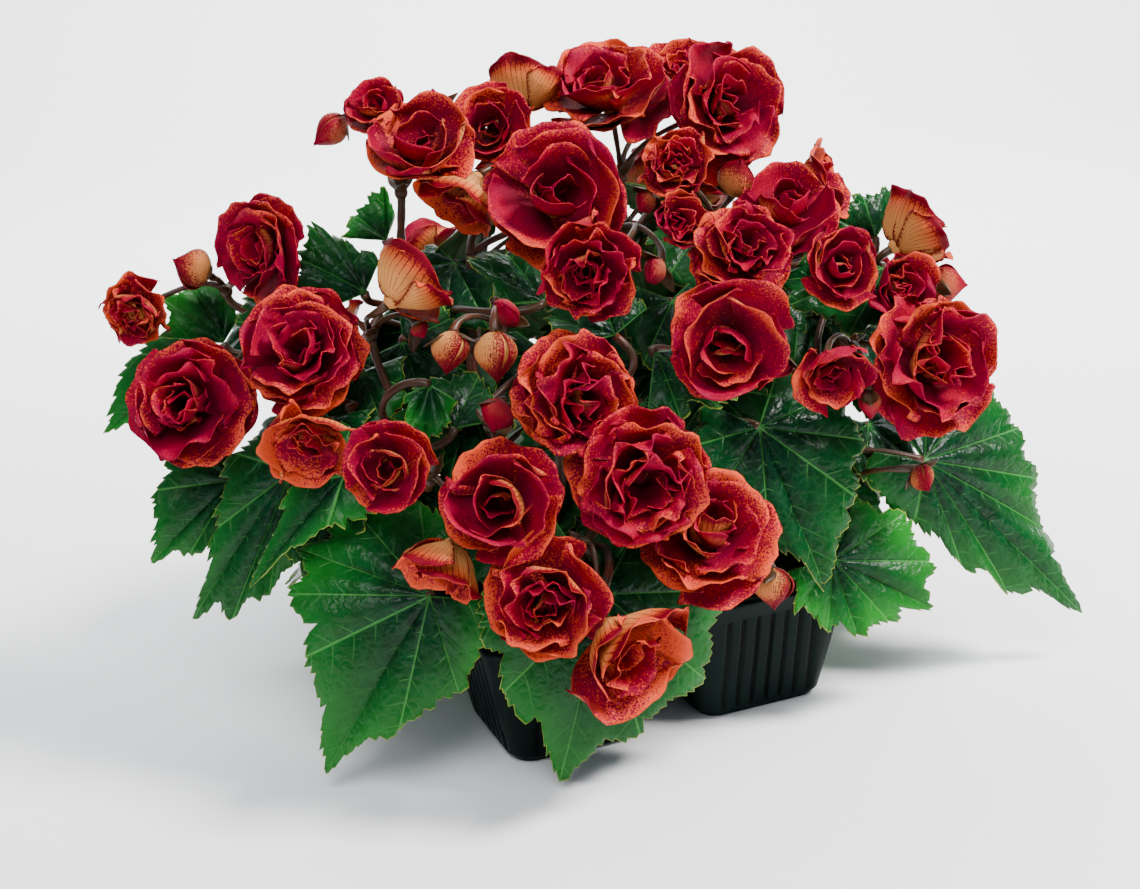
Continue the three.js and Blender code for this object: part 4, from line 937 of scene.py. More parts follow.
# Blooms on the far side: turn round the pack, distance out, height, tilt, width across, form, plant.
hiddenBlooms = {
    "back_1": (250, 128, 150, 16, 48, "open", "back_left"),
    "back_2": (222, 112, 176, 26, 46, "open", "back_left"),
    "back_3": (196, 116, 146, 12, 46, "cup", "back_left"),
    "back_4": (166, 120, 160, 16, 50, "open", "back_right"),
    "back_5": (138, 126, 138, 12, 44, "rosette", "back_right"),
    "back_6": (112, 134, 158, 18, 48, "open", "back_right"),
    "back_7": (208, 66, 218, 46, 46, "cup", "back_left"),
    "back_8": (146, 76, 212, 42, 48, "open", "back_right"),
    "back_9": (104, 96, 204, 40, 42, "half", "back_right"),
}

# ---- stems

# `slim` is how much of its solid's radius a drawn stem has, so that it stays within the flat sides.
stem = {
    "foot": 25, "head": 76, "radius": 5, "shoot": 3.2, "peduncle": 2.1, "petiole": 2, "pedicel": 1.4,
    "shootSteps": 3, "sides": 9, "steps": 26, "slim": 0.86,
}
clearance = 0.3  # between a bloom's solid and its stalk
budOverlap = 1.5  # how far a stalk runs into its closed bud
solidLeaf = 1.1  # how thick the solids' leaves are
skyward = np.array([0.0, 0.0, 1.0])
bendChoices = [
    (lift, sway, straight)
    for lift in (0.3, 0.1, 0.5, -0.1, 0.75, -0.35, 1)
    for sway in (0, 0.15, -0.15, 0.35, -0.35, 0.6, -0.6, 0.9, -0.9)
    for straight in (0.32, 0.12)
]


# The points of a solid, ready to be searched, in mm.
def treeOf(name):
    points = [v.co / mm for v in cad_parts[name].data.vertices]
    tree = kdtree.KDTree(len(points))
    for number, point in enumerate(points):
        tree.insert(point, number)
    tree.balance()
    return tree


solidPoints = {plant: treeOf("plant_" + plant) for plant in plants}


# The corners of a stem's curve that arrives along `arrive`, lifted and swayed on its way.
def route(start, end, arrive, lift, sway, straight=0.32):
    span = np.linalg.norm(end - start)
    side = unit(np.cross(end - start, skyward))
    first = start + (end - start) * 0.2 + skyward * span * lift + side * span * sway
    second = end - arrive * straight * span + side * span * sway * 0.6
    return np.stack([start, first, second, end])


# Points evenly spaced along a cubic curve.
def along(corners, steps, fine=200):
    t = np.linspace(0, 1, fine + 1)[:, None]
    a, b, c, d = corners
    points = (1 - t) ** 3 * a + 3 * t * (1 - t) ** 2 * b + 3 * t * t * (1 - t) * c + t ** 3 * d
    length = np.concatenate([[0], np.cumsum(np.linalg.norm(np.diff(points, axis=0), axis=1))])
    wanted = np.linspace(0, length[-1], steps + 1)
    return np.column_stack([np.interp(wanted, length, points[:, k]) for k in range(3)])


# The bend that the solids gave this stem: the one whose knees have three of their points about them.
def bendOf(plant, start, end, arrive, radius, steps):
    best, bestCost = None, 1e9
    for choice in bendChoices:
        corners = route(start, end, arrive, *choice)
        for lengths in (steps, steps + 1, steps + 2):
            knees = along(corners, lengths)[1:-1]
            cost = sum(
                abs(found[2] - radius) for knee in knees for found in solidPoints[plant].find_n(knee, 3)
            ) / len(knees)
            if cost < bestCost:
                best, bestCost = choice, cost
    return best, bestCost


# The point of a plant's shoots that a stem to `target` springs from: near it, and below it.
def springPoint(shoots, target):
    best, bestCost, bestShoot = None, 1e9, None
    for shoot in shoots:
        knees = along(shoot, stem["shootSteps"])
        for k in range(stem["shootSteps"]):
            for t in (0.3, 0.6, 0.95):
                p = knees[k] * (1 - t) + knees[k + 1] * t
                cost = np.linalg.norm(p - target) + 2.5 * max(0, p[2] - target[2] + 12)
                if cost < bestCost:
                    best, bestCost, bestShoot = p, cost, shoot
    return best, bestShoot


# Rings across a curve, each turned on from the last so that the tube doesn't twist.
def tubeRings(points, radii, sides):
    ways = unit(np.gradient(points, axis=0))
    side = np.array([0.31, 0.87, 0.38])
    angle = np.linspace(0, 2 * np.pi, sides, endpoint=False)
    rings = []
    for point, way, radius in zip(points, ways, radii):
        side = unit(side - way * (side @ way))
        other = np.cross(way, side)
        rings.append(point + radius * (np.cos(angle)[:, None] * side + np.sin(angle)[:, None] * other))
    return np.stack(rings)


# A stem drawn as a tapering tube with a slow swell; `age` goes from its foot to its tip.
def addStem(pile, corners, radii, age, seed):
    steps = stem["steps"]
    points = along(corners, steps)
    share = np.linspace(0, 1, steps + 1)
    radius = np.interp(share, np.linspace(0, 1, len(radii)), radii)
    radius = radius * (1 + 0.05 * np.sin(share * 17 + seed))
    rings = tubeRings(points, radius, stem["sides"])
    tone = np.interp(share, [0, 1], age)[:, None] * np.ones(stem["sides"])
    addRings(pile, rings, {"tone": tone})
    return points


# A knot where stems part: a lump of rings, widest in the middle.
def addKnot(pile, centre, radius, age):
    levels = np.linspace(-0.96, 0.96, 9)
    angle = np.linspace(0, 2 * np.pi, 12, endpoint=False)
    width = np.sqrt(1 - levels ** 2) * radius
    ring = np.stack([np.cos(angle), np.sin(angle), np.zeros(12)], -1)
    rings = centre + width[:, None, None] * ring + levels[:, None, None] * radius * 1.15 * skyward
    addRings(pile, rings, {"tone": age})


stemPiles = {plant: newPile() for plant in plants}
shootCurves = {}
for plant, tips in plants.items():
    middle = cellMiddle(plant)
    head = middle + skyward * (stem["head"] - 10)
    trunk = np.stack([middle + skyward * z for z in np.linspace(stem["foot"], stem["head"], 14)])
    girth = np.linspace(1, 0.8, 14) * stem["radius"] * (1 + 0.07 * np.sin(np.arange(14) * 2.1))
    addRings(stemPiles[plant], tubeRings(trunk, girth, 14), {"tone": 0.1})
    shootCurves[plant] = [route(head, spot(tip), skyward, 0.25, 0) for tip in tips]
    for k, corners in enumerate(shootCurves[plant]):
        radii = np.array([1.05, 1, 0.95, 0.7]) * stem["shoot"]
        addStem(stemPiles[plant], corners, radii, (0.15, 0.5), k)


# The stem as the solids bend it, but from the skin of its rounded shoot.
def growStem(name, plant, target, end, arrive, radius, radii, age, start=None, fullEnd=None):
    shoot = None
    if start is None:
        start, shoot = springPoint(shootCurves[plant], target)
    choice, cost = bendOf(plant, start, end, arrive, radius, 2)
    if cost > 0.2:
        print("the bend of", name, "is a guess:", round(cost, 2))
    if shoot is not None:
        fine = along(shoot, 80)
        start = fine[np.argmin(np.linalg.norm(fine - start, axis=1))]
    last = end if fullEnd is None else fullEnd
    corners = route(start, last, arrive, *choice)
    seed = len(name) + start[0]
    return addStem(stemPiles[plant], corners, np.array(radii) * radius * stem["slim"], age, seed)


# ---- leaves

# `fine` and `coarse` are the columns between two arms and the rings of a large and a small leaf.
leafForm = {
    "fine": (40, 13), "coarse": (18, 8), "thickness": 0.8, "notch": 0.09, "tooth": 4.6, "toothDepth": 2.6,
    "spur": 18, "spurDepth": 4.2, "arch": 0.018, "puff": 1.3, "quilt": 0.7, "branch": 10, "groove": 0.25,
    "wave": 1.6, "edgeDrop": 0.025,
}


# The way a fan of arms faces: the mean of the planes between neighbours.
def leafNormal(hub, tips):
    arms = tips - hub
    return unit(np.cross(arms[:-1], arms[1:]).sum(0))


# A leaf of the picture, its arms in the order that makes it face the eye's side.
def seenLeaf(row):
    hub, tips = spot(row["hub"]), np.stack([spot(tip) for tip in row["tips"]])
    if leafNormal(hub, tips) @ facing(0, 50) < 0:
        tips = tips[::-1]
    return hub, tips


# A leaf of the common shape that hangs out from the plant: its lobes fan out about the way onward
# and sag with the square of their length.
def commonLeaf(turn, out, height, size, droop, lobeCount=len(lobes)):
    away = facing(turn, 0)
    droop = math.radians(droop)
    hub = away * out + skyward * height + packMiddle
    onward = away * math.cos(droop) - skyward * math.sin(droop)
    across = np.cross(skyward, away)
    skip = (len(lobes) - lobeCount) // 2
    tips = []
    for angle, length in lobes[skip:len(lobes) - skip]:
        a = math.radians(angle)
        sag = 0.16 * size * length * length * (1 - math.cos(a) * 0.4)
        tips.append(hub + (onward * math.cos(a) + across * math.sin(a)) * size * length - skyward * sag)
    return hub, np.stack(tips)


# How far the solids moved this leaf along its normal: the shift at which its tips are points of theirs.
def leafShift(plant, hub, tips, normal):
    def miss(shift):
        return sum(min(solidPoints[plant].find(p + normal * shift)[2], 2) for p in (hub, *tips))
    return min((0, 3, -3, 6, -6, 9, -9, 12, -12), key=miss)


# A blade on a fan of arms. A column runs out between two arms, turned by its share t of the gap,
# and its reach is 1 at the arms and dips by `notch` times a power of sin(pi t) between them. The
# rim is cut by small teeth that ride on spurs, each a slope out and a drop back. The blade arches and
# is puffed between the veins by powers of sin(pi t), is quilted by a sine of `veinRun`, drops towards
# its rim and is waved there by two sines. `veinRun` counts the side branches: it grows along the main
# vein and falls with the distance from it and the square of that, so that they bend towards the tip.
# `veinShare` is 0 on a main vein and 1 halfway to the next. The tone is painted light and shade: it
# grows with the square of rho, so the leaf is painted in shade near its hub and lit towards its rim.
def addLeaf(pile, hub, tips, isToothed, bright, seed, fineness=leafForm["fine"]):
    form = leafForm
    steps, rings = fineness
    arms = tips - hub
    normal = leafNormal(hub, tips)
    gaps = len(tips) - 1
    s = np.linspace(0, gaps, gaps * steps + 1)
    gap = np.minimum(s.astype(int), gaps - 1)
    t = s - gap
    a, b = arms[gap], arms[gap + 1]
    lengthA, lengthB = np.linalg.norm(a, axis=1), np.linalg.norm(b, axis=1)
    way = unit(a * (1 - t)[:, None] + b * t[:, None])
    length = lengthA * (1 - t) + lengthB * t
    bow = np.sin(np.pi * t)
    reach = 1 - form["notch"] * bow ** (3 if isToothed else 2)
    rim = way * (length * reach)[:, None]
    run = np.concatenate([[0], np.cumsum(np.linalg.norm(np.diff(rim, axis=0), axis=1))])
    teeth = max(1, round(run[-1] / form["tooth"]))
    phase = run / run[-1] * teeth
    size = 0.75 + 0.45 * np.sin(np.floor(phase) * 2.4 + seed)
    cut = (1 - phase % 1) ** 0.8 * size * form["toothDepth"]
    broad = run / run[-1] * max(1, round(run[-1] / form["spur"]))
    size = 0.7 + 0.3 * np.sin(np.floor(broad) * 1.9 + seed)
    cut = cut + (1 - broad % 1) ** 1.3 * form["spurDepth"] * size
    uneven = 0.7 * np.sin(s * 7.3 + seed) - 1.2
    rho = np.linspace(0, 1, rings + 1)[1:][:, None] ** 0.9
    outer = rho ** 3
    distance = length * rho * (1 + (reach - 1) * outer) - (cut + uneven - 1) * rho ** 10
    angle = np.arccos(np.clip((unit(a) * unit(b)).sum(1), -1, 1))
    toVein = distance * np.sin(np.minimum(t, 1 - t) * np.minimum(angle, 2.4))
    onVein = distance * np.cos(np.minimum(t, 1 - t) * angle)
    arch = form["arch"] * (lengthA + lengthB) * bow ** 1.5 * np.clip(rho * 1.6 - 0.6, 0, 1)
    puff = form["puff"] * bow ** 1.1 * np.sin(np.pi * np.clip(rho, 0, 1)) ** 0.8
    veinRun = (onVein - 0.7 * toVein - 0.018 * toVein ** 2) / form["branch"]
    veinShare = np.broadcast_to(2 * np.minimum(t, 1 - t), toVein.shape)
    quilt = form["quilt"] * np.sin(2 * np.pi * veinRun + np.pi) * np.clip(toVein / 4, 0, 1)
    quilt = quilt * (1 - outer) * (1 - veinShare ** 2)
    wave = form["wave"] * np.sin(s * 2.9 + seed) * rho ** 3 + 0.6 * np.sin(s * 9.1 + 2 * seed) * rho ** 8
    height = arch + puff + quilt + wave - form["edgeDrop"] * length * rho ** 5
    height = height - form["groove"] * np.exp(-(toVein / 0.9) ** 2)
    grid = hub + way * distance[..., None] + normal * height[..., None]
    edge = 1 - np.clip((1 - rho) * length / 14, 0, 1)
    # Painted light and shade: dark near the hub, under the blooms, and bright green towards the rim.
    tone = np.clip(bright * 1.5 * rho ** 2 * (1 + 0.25 * np.sin(s * 2.3 + seed)), 0, 1)
    values = {"veinSide": toVein, "veinRun": veinRun, "veinShare": veinShare, "edge": edge, "tone": tone}
    addSheet(pile, grid, form["thickness"] * (1 - 0.4 * outer), values, hub=hub - normal * 0.4)


# Small leaves deep among the stems, past what the solids hold: plant, [u, v, near], the turn and tilt
# of the way they face, and length.
innerLeaves = [
    ("back_left", [455, 262, -4], -20, 50, 40), ("back_right", [672, 300, 8], 25, 45, 42),
    ("back_right", [800, 306, -2], 40, 50, 40), ("front_left", [545, 352, 16], -10, 40, 42),
    ("back_right", [600, 318, -24], 10, 60, 44), ("front_right", [712, 388, 24], 10, 50, 42),
    ("front_left", [470, 402, 36], -30, 45, 38), ("back_left", [352, 402, 28], -20, 50, 40),
    ("back_left", [300, 292, -4], -40, 55, 36), ("back_right", [758, 262, -14], 30, 60, 40),
    ("front_left", [642, 402, 30], 20, 50, 40), ("front_left", [560, 448, 52], -5, 40, 36),
    ("front_right", [862, 326, 4], 50, 45, 38), ("front_left", [418, 492, 62], -30, 45, 38),
    ("back_left", [258, 322, 2], -50, 50, 34), ("back_right", [560, 238, -26], -5, 60, 42),
    ("front_right", [868, 424, 20], 45, 45, 38), ("front_right", [826, 470, 40], 30, 45, 40),
    ("front_right", [668, 452, 52], 15, 40, 38), ("back_left", [420, 330, -20], -20, 60, 44),
    ("back_right", [700, 232, -30], 10, 65, 40), ("back_right", [838, 262, -22], 60, 60, 36),
    ("front_left", [330, 500, 66], -40, 40, 36), ("front_right", [740, 470, 50], 10, 45, 36),
    ("back_left", [505, 300, -30], 180, 50, 42), ("back_right", [640, 240, -60], 170, 45, 44),
    ("back_right", [792, 372, 2], 20, 50, 40), ("back_right", [834, 240, -16], 40, 55, 34),
    ("front_left", [655, 372, 10], 10, 45, 40), ("back_right", [880, 380, -10], 45, 50, 36),
    ("front_left", [288, 436, 12], -35, 45, 38), ("front_left", [352, 448, 40], -25, 45, 36),
    ("back_left", [362, 372, 44], -25, 45, 36), ("front_left", [402, 418, 58], -15, 40, 34),
    ("back_left", [330, 420, 58], -35, 45, 34), ("front_left", [455, 352, 20], -10, 55, 38),
    ("back_right", [740, 300, -60], 150, 45, 42),
]
# The same towards the back: plant, turn round the pack and distance out, height, tilt and length.
backLeaves = [
    ("back_left", 200, 62, 186, 40, 44), ("back_left", 236, 84, 182, 40, 42),
    ("back_left", 216, 84, 148, 35, 46), ("back_left", 262, 96, 170, 40, 40),
    ("back_right", 172, 74, 190, 40, 44), ("back_right", 150, 92, 176, 35, 42),
    ("back_right", 128, 92, 188, 40, 42), ("back_right", 182, 86, 152, 35, 46),
    ("back_right", 152, 96, 138, 35, 44), ("back_right", 118, 100, 150, 35, 42),
    ("back_left", 190, 44, 214, 45, 40), ("back_right", 140, 56, 216, 45, 40),
    ("back_left", 240, 60, 208, 45, 38), ("back_left", 206, 98, 122, 30, 42),
    ("back_right", 168, 100, 124, 30, 42),
]


# The tips of a leaf that faces `turn` and `tilt` and hangs down from its hub, in the common shape.
def innerTips(hub, turn, tilt, size):
    normal = facing(turn, tilt)
    onward = unit(normal * (normal @ skyward) - skyward)
    across = np.cross(normal, onward)
    tips = []
    for angle, length in lobes:
        a = math.radians(angle)
        bend = normal * 0.2 * size * length * length
        tips.append(hub + (onward * math.cos(a) + across * math.sin(a)) * size * length - bend)
    tips = np.stack(tips)
    return tips if leafNormal(hub, tips) @ normal > 0 else tips[::-1]


leafPiles = {plant: newPile() for plant in plants}
# How much painted light a leaf has: a brighter green towards its rim, over painted shade near its hub.
# The others have 0.2.
leafPaintedLight = {
    "apron_left": 0.55, "right_low": 0.7, "heart_bright": 0.6, "apron_middle": 0.4, "left_high": 0.5,
    "right_great": 0.35, "left_far": 0.6, "left_bright": 0.7, "pale_top": 0.7, "left_low": 0.4,
    "left_middle": 0.35, "left_olive": 0.3,
}
large = [(name, row["plant"], row.get("toothed", False), *seenLeaf(row)) for name, row in seenLeaves.items()]
large += [(name, plant, False, *commonLeaf(*way)) for name, (plant, *way) in hiddenLeaves.items()]
for number, (name, plant, isToothed, hub, tips) in enumerate(large):
    normal = leafNormal(hub, tips)
    shift = leafShift(plant, hub, tips, normal)
    hub, tips = hub + normal * shift, tips + normal * shift
    bright = leafPaintedLight.get(name, 0.2)
    addLeaf(leafPiles[plant], hub, tips, isToothed, bright, 1.7 * number)
    arms = unit(tips - hub)
    angles = np.arccos(np.clip((arms[1:] * arms[:-1]).sum(1), -1, 1))
    widest = int(np.argmax(angles))
    field = (arms[widest] + arms[widest + 1]) / 2
    end = hub + field * 3 * stem["petiole"] - normal * 0.5 * solidLeaf
    arrive = unit(unit(tips.mean(0) - hub) + normal * 0.6)
    growStem(name, plant, hub, end, arrive, stem["petiole"], [1.15, 1, 0.9, 1, 1.2], (0.35, 0.6),
             fullEnd=hub - normal * 0.6)
small = [(plant, spot(place), *way) for plant, place, *way in innerLeaves]
for plant, turn, out, height, *way in backLeaves:
    small.append((plant, facing(turn, 0) * out + skyward * height + packMiddle, turn, *way))
for number, (plant, hub, turn, tilt, size) in enumerate(small):
    tips = innerTips(hub, turn, tilt, size)
    # Painted light for a small leaf, in three steps.
    bright = 0.1 + 0.1 * (number % 3)
    addLeaf(leafPiles[plant], hub, tips, True, bright, 0.9 * number, leafForm["coarse"])
    start, _ = springPoint(shootCurves[plant], hub)
    arrive = unit(leafNormal(hub, tips) - skyward * 0.4)
    corners = route(start, hub, arrive, 0.15, 0.1)
    addStem(stemPiles[plant], corners, [1.7, 1.4, 1.5], (0.3, 0.6), number)
print("leaves made")

# ---- blooms

# Layers of petals from the outside in: how many, their lean from the bloom's axis, how much the
# tip curls back to it, and their reach and seat as shares of the bloom's radius. `back` is how far
# the foot of a bloom lies behind its place, as such a share too. A bowl has none, because it is only
# another way to draw a bloom that the solids hold in one of the other forms.
bloomForms = {
    "open": {"back": 0.3, "layers": [
        (4, 84, 16, 1.0, 0.14), (4, 68, 22, 0.95, 0.18), (4, 50, 26, 0.8, 0.22), (4, 32, 22, 0.62, 0.27),
        (3, 14, 16, 0.46, 0.3),
    ]},
    "cup": {"back": 0.45, "layers": [
        (4, 66, 34, 1.0, 0.16), (4, 50, 34, 0.8, 0.2), (3, 32, 26, 0.5, 0.28), (2, 14, 20, 0.34, 0.3),
    ]},
    "rosette": {"back": 0.4, "layers": [
        (4, 78, 50, 1.0, 0.16), (4, 58, 46, 0.84, 0.2), (4, 42, 42, 0.64, 0.26), (3, 28, 36, 0.46, 0.3),
        (3, 14, 30, 0.32, 0.32),
    ]},
    "bowl": {"layers": [
        (4, 74, 24, 1.0, 0.14), (3, 56, 38, 0.9, 0.18), (3, 38, 44, 0.7, 0.22), (2, 14, 30, 0.44, 0.26),
    ]},
    "half": {"back": 0.6, "layers": [
        (4, 52, 28, 1.0, 0.16), (3, 36, 28, 0.76, 0.2), (3, 16, 18, 0.46, 0.28),
    ]},
    "bud": {"back": 0.9, "layers": []},
}
petalForm = {
    "rows": 16, "columns": 21, "root": 0.16, "belly": 0.6, "arc": 1.25, "breadth": 0.84,
    "ruffle": 0.045, "innerRuffle": 0.12, "fold": 0.11, "reflex": 24, "tilt": 0.2, "thickness": 0.45,
}
# Blooms that show as bowls of a few broad smooth petals.
bowls = ("crest_left_cup", "crest_middle_cup", "crest_left_small", "brow_great", "chest_left_great",
         "chest_great", "skirt_left_cup", "shoulder_round", "shoulder_cup")
# How much of its gold a bloom shows on the backs of its petals. The others draw theirs.
brightBacks = {
    "heart_hanging": 0.95, "heart_drop": 0.75, "crest_left_cup": 0.6, "crest_middle_cup": 0.55,
    "brow_great": 0.5, "chest_left_great": 0.45, "crest_middle_back": 1, "crest_middle_drop": 0.95,
    "heart_fan": 1, "side_back": 1, "skirt_left_drop": 0.9, "skirt_middle_side": 0.85,
    "brow_back_bud": 0.6, "arm_left_bud": 0.55, "skirt_right_bud": 0.6, "crest_left_bud": 0.4,
    "cheek_left_hood": 0.8, "shoulder_side": 0.7, "crest_right_saucer": 0.6, "side_bud": 0.4,
}


# A petal about the bloom's own axis +Z. Its middle line leaves the root at `lean` degrees from the
# axis, curls back by `curl` past its belly and turns out again at its very tip. Its half width grows
# as a quarter sine to the belly, its end is an arc of a circle, and it is rolled about the axis on a
# circle that is narrower the nearer the petal stands to it, and drawn wider at random for an inner
# petal. One side is tilted over the next petal. The rim is ruffled by two waves and the petal is
# folded by the size of a sine across it, both more strongly on the inner petals.
def addPetal(pile, put, radius, layer, azimuth, tone, frill, rng):
    form = petalForm
    _, lean, curl, reach, seat = layer
    inner = 1 - reach
    v = np.linspace(0, 1, form["rows"])
    u = np.linspace(-1, 1, form["columns"])
    bend = np.clip((v - 0.35) / 0.45, 0, 1)
    lean = lean + rng.uniform(-9, 9) * (0.6 + 2.6 * inner)
    curl = curl + rng.uniform(-14, 14)
    angle = lean - curl * bend * bend * (3 - 2 * bend)
    angle = np.radians(angle + form["reflex"] * rng.uniform(0, 1.6) * np.clip((v - 0.7) / 0.3, 0, 1) ** 2)
    slope = 0.6 * math.sin(math.radians(lean)) + 0.4 * math.sin(math.radians(lean - curl))
    length = radius * min((reach - form["root"]) / max(slope, 0.1), 1.2 * reach) * rng.uniform(0.98, 1.16)
    step = length / (form["rows"] - 1)

    def summed(turn):
        return np.concatenate([[0], np.cumsum((turn[1:] + turn[:-1]) / 2 * step)])

    out = form["root"] * radius * (0.5 + 0.5 * reach) + summed(np.sin(angle))
    rise = seat * radius + summed(np.cos(angle))
    broad = (form["breadth"] - 0.3 * inner) * length * rng.uniform(0.86, 1.14)
    grow = np.sin(np.pi / 2 * np.minimum(v / form["belly"], 1)) ** 1.1
    half = broad * (0.16 + 0.84 * grow)
    uu, vv = np.meshgrid(u, v)
    drop = (1 - np.cos(form["arc"] * uu)) * broad / length * 0.95
    place = vv * (1 - np.minimum(drop, 0.6) * vv ** 2)
    away = np.interp(place, v, out)
    high = np.interp(place, v, rise)
    leaning = np.interp(place, v, angle)
    wide = np.interp(vv, v, half)
    side = wide * np.sin(uu * form["arc"]) / math.sin(form["arc"])
    roll = np.maximum(away, 0.3 * radius) / (0.25 + 0.75 * np.cos(leaning) ** 2 + 0.3 * inner)
    roll = roll * rng.uniform(1, 1 + 2.4 * inner)
    lift = roll * (1 - np.cos(side / roll)) * np.clip(vv * 2.5, 0, 1)
    side = roll * np.sin(side / roll)
    rim = np.maximum(np.abs(uu) ** 3 * np.clip(vv * 1.6, 0, 1), vv ** 4)
    phase = rng.uniform(0, 6.28, 4)
    ruffle = np.sin(uu * (3 + 4 * vv) + phase[0]) + 0.7 * np.sin(uu * (7 + 6 * vv) + phase[1])
    strength = form["ruffle"] + (form["innerRuffle"] - form["ruffle"]) * min(1, 1.7 * inner)
    lift = lift + frill * strength * length * ruffle * rim
    lift = lift + 0.03 * length * np.sin(2.6 * uu + 3.4 * vv + phase[2]) * vv
    lift = lift + form["fold"] * inner * length * np.abs(np.sin(2.4 * uu + phase[0])) * vv
    lift = lift + form["tilt"] * side * rng.uniform(0.7, 1.3)
    scallop = length * (0.03 * np.sin(uu * 6 + phase[3]) + 0.02 * np.sin(uu * 15 + phase[2])) * vv ** 6
    x = away - np.cos(leaning) * lift + np.sin(leaning) * scallop
    z = high + np.sin(leaning) * lift + np.cos(leaning) * scallop
    cosA, sinA = math.cos(azimuth), math.sin(azimuth)
    grid = np.stack([x * cosA - side * sinA, x * sinA + side * cosA, z], -1)
    toEdge = np.minimum((1 - np.abs(uu)) * wide, (1 - vv) * length)
    tone = tone + 0.45 * np.sin(1.7 * uu + phase[1]) * vv
    values = {"across": uu, "along": vv * (0.35 + 0.65 * reach), "tone": tone,
              "rim": 1 - np.clip(toEdge / (0.3 * length), 0, 1)}
    addSheet(pile, put(grid), form["thickness"] * (1 - 0.35 * rim), values)


# A closed bud: two large petals pressed together about two small ones. Each is wrapped on an egg that
# is flattened across the pair and runs to a point: its width is a sine of its height, skewed so that
# it is widest below the middle. Both sides of its petals have the look of a petal's back.
def addBud(pile, put, radius, spin, tone, rng):
    v = np.linspace(0, 1, 15)
    u = np.linspace(-1, 1, 15)
    uu, vv = np.meshgrid(u, v)
    for i in range(4):
        isOuter = i < 2
        w = vv * (1 - (0.1 if isOuter else 0.05) * uu ** 2) * (1 if isOuter else 1.03)
        egg = 0.83 * np.sin(np.pi * np.clip(w, 0.004, 0.99) ** 0.8) ** (0.75 + 0.35 * w)
        turn = spin + (i % 2) * np.pi + (0 if isOuter else np.pi / 2)
        turn = turn + 0.35 * w + uu * (1.5 if isOuter else 1.0)
        flat = 1 - 0.26 * np.cos(turn - spin) ** 2
        folds = flat * (1.02 + 0.07 * uu * np.sin(np.pi * w) + 0.04 * uu ** 4 if isOuter else 0.9)
        r = radius * egg * folds + 0.2
        z = radius * 1.78 * w + 0.05 * radius * np.sin(5 * uu) * vv ** 4
        grid = np.stack([r * np.cos(turn), r * np.sin(turn), z], -1)
        toEdge = np.minimum((1 - np.abs(uu)) * radius, (1 - vv) * radius * 1.7)
        values = {"across": uu, "along": 0.2 + 0.6 * vv, "tone": tone * rng.uniform(0.85, 1.1),
                  "rim": 1 - np.clip(toEdge / radius, 0, 1)}
        addSheet(pile, put(grid[:, ::-1]), 0.4, values, faces=(0, 0))


# The seat that the petals stand on: a small cone from the pedicel up.
def addSeat(pile, put, radius, tone):
    angle = np.linspace(0, 2 * np.pi, 12, endpoint=False)
    rings = [
        np.stack([r * np.cos(angle), r * np.sin(angle), np.full(12, z)], -1) * radius
        for r, z in ((0.07, 0), (0.12, 0.05), (0.18, 0.13), (0.2, 0.2), (0.14, 0.3), (0.04, 0.36))
    ]
    isInside = np.array([0, 0, 0, 0, 1, 1])[:, None]
    values = {"across": 0.5, "along": 0.2 * (1 - isInside), "tone": tone, "rim": 0, "front": isInside}
    addRings(pile, put(np.stack(rings)), values)


# Bracts where a stalk forks and under a bud: pale boat-shaped scales that clasp it. The half width is
# a sine of the way along, and the sides fold up with the square of u.
def addBracts(pile, centre, axis, length, count, spread, seed):
    rng = np.random.default_rng(seed)
    side = unit(np.cross(axis, np.array([0.3, 0.8, 0.5])))
    other = np.cross(axis, side)
    v, u = np.linspace(0.02, 1, 9), np.linspace(-1, 1, 7)
    uu, vv = np.meshgrid(u, v)
    for i in range(count):
        a = i / count * 2 * np.pi + rng.uniform(-0.4, 0.4) + seed
        out = math.cos(a) * side + math.sin(a) * other
        across = np.cross(axis, out)
        lean = math.radians(spread + rng.uniform(-12, 12))
        size = length * rng.uniform(0.8, 1.15)
        onward = math.cos(lean) * axis + math.sin(lean) * out
        upward = math.sin(lean) * axis - math.cos(lean) * out
        half = size * 0.3 * np.sin(np.pi * np.clip(vv, 0.05, 0.97) ** 0.8)
        rise = 0.35 * half * uu ** 2 + 0.12 * size * vv ** 2
        root = centre + out * 1.2
        grid = root + onward * (vv * size)[..., None] + upward * rise[..., None]
        grid = grid + across * (half * uu)[..., None]
        addSheet(pile, grid, 0.35, {"tone": 0.95}, faces=(None, None))


draw = drawer(7)


# A bloom's radius, its foot, what lays points about +Z there, and how far it is spun. The solids
# take three draws for each bloom, and the last is the spin.
def bloomPlace(centre, axis, across, form):
    turn = np.array(Vector((0, 0, 1)).rotation_difference(Vector(axis)).to_matrix())
    radius = across / 2
    base = centre - axis * radius * bloomForms[form]["back"]
    next(draw), next(draw)
    return radius, base, lambda p: p @ turn.T + base, next(draw) * 2 * math.pi


# The heart of a bloom leans and sits a little off its axis, the more the deeper a layer is.
def tipped(put, lean, way, aside):
    axis = Vector((math.sin(lean) * math.cos(way), math.sin(lean) * math.sin(way), math.cos(lean)))
    turn = np.array(Vector((0, 0, 1)).rotation_difference(axis).to_matrix())
    shift = np.array([math.cos(way), math.sin(way), 0]) * aside
    return lambda p: put(p @ turn.T + shift)


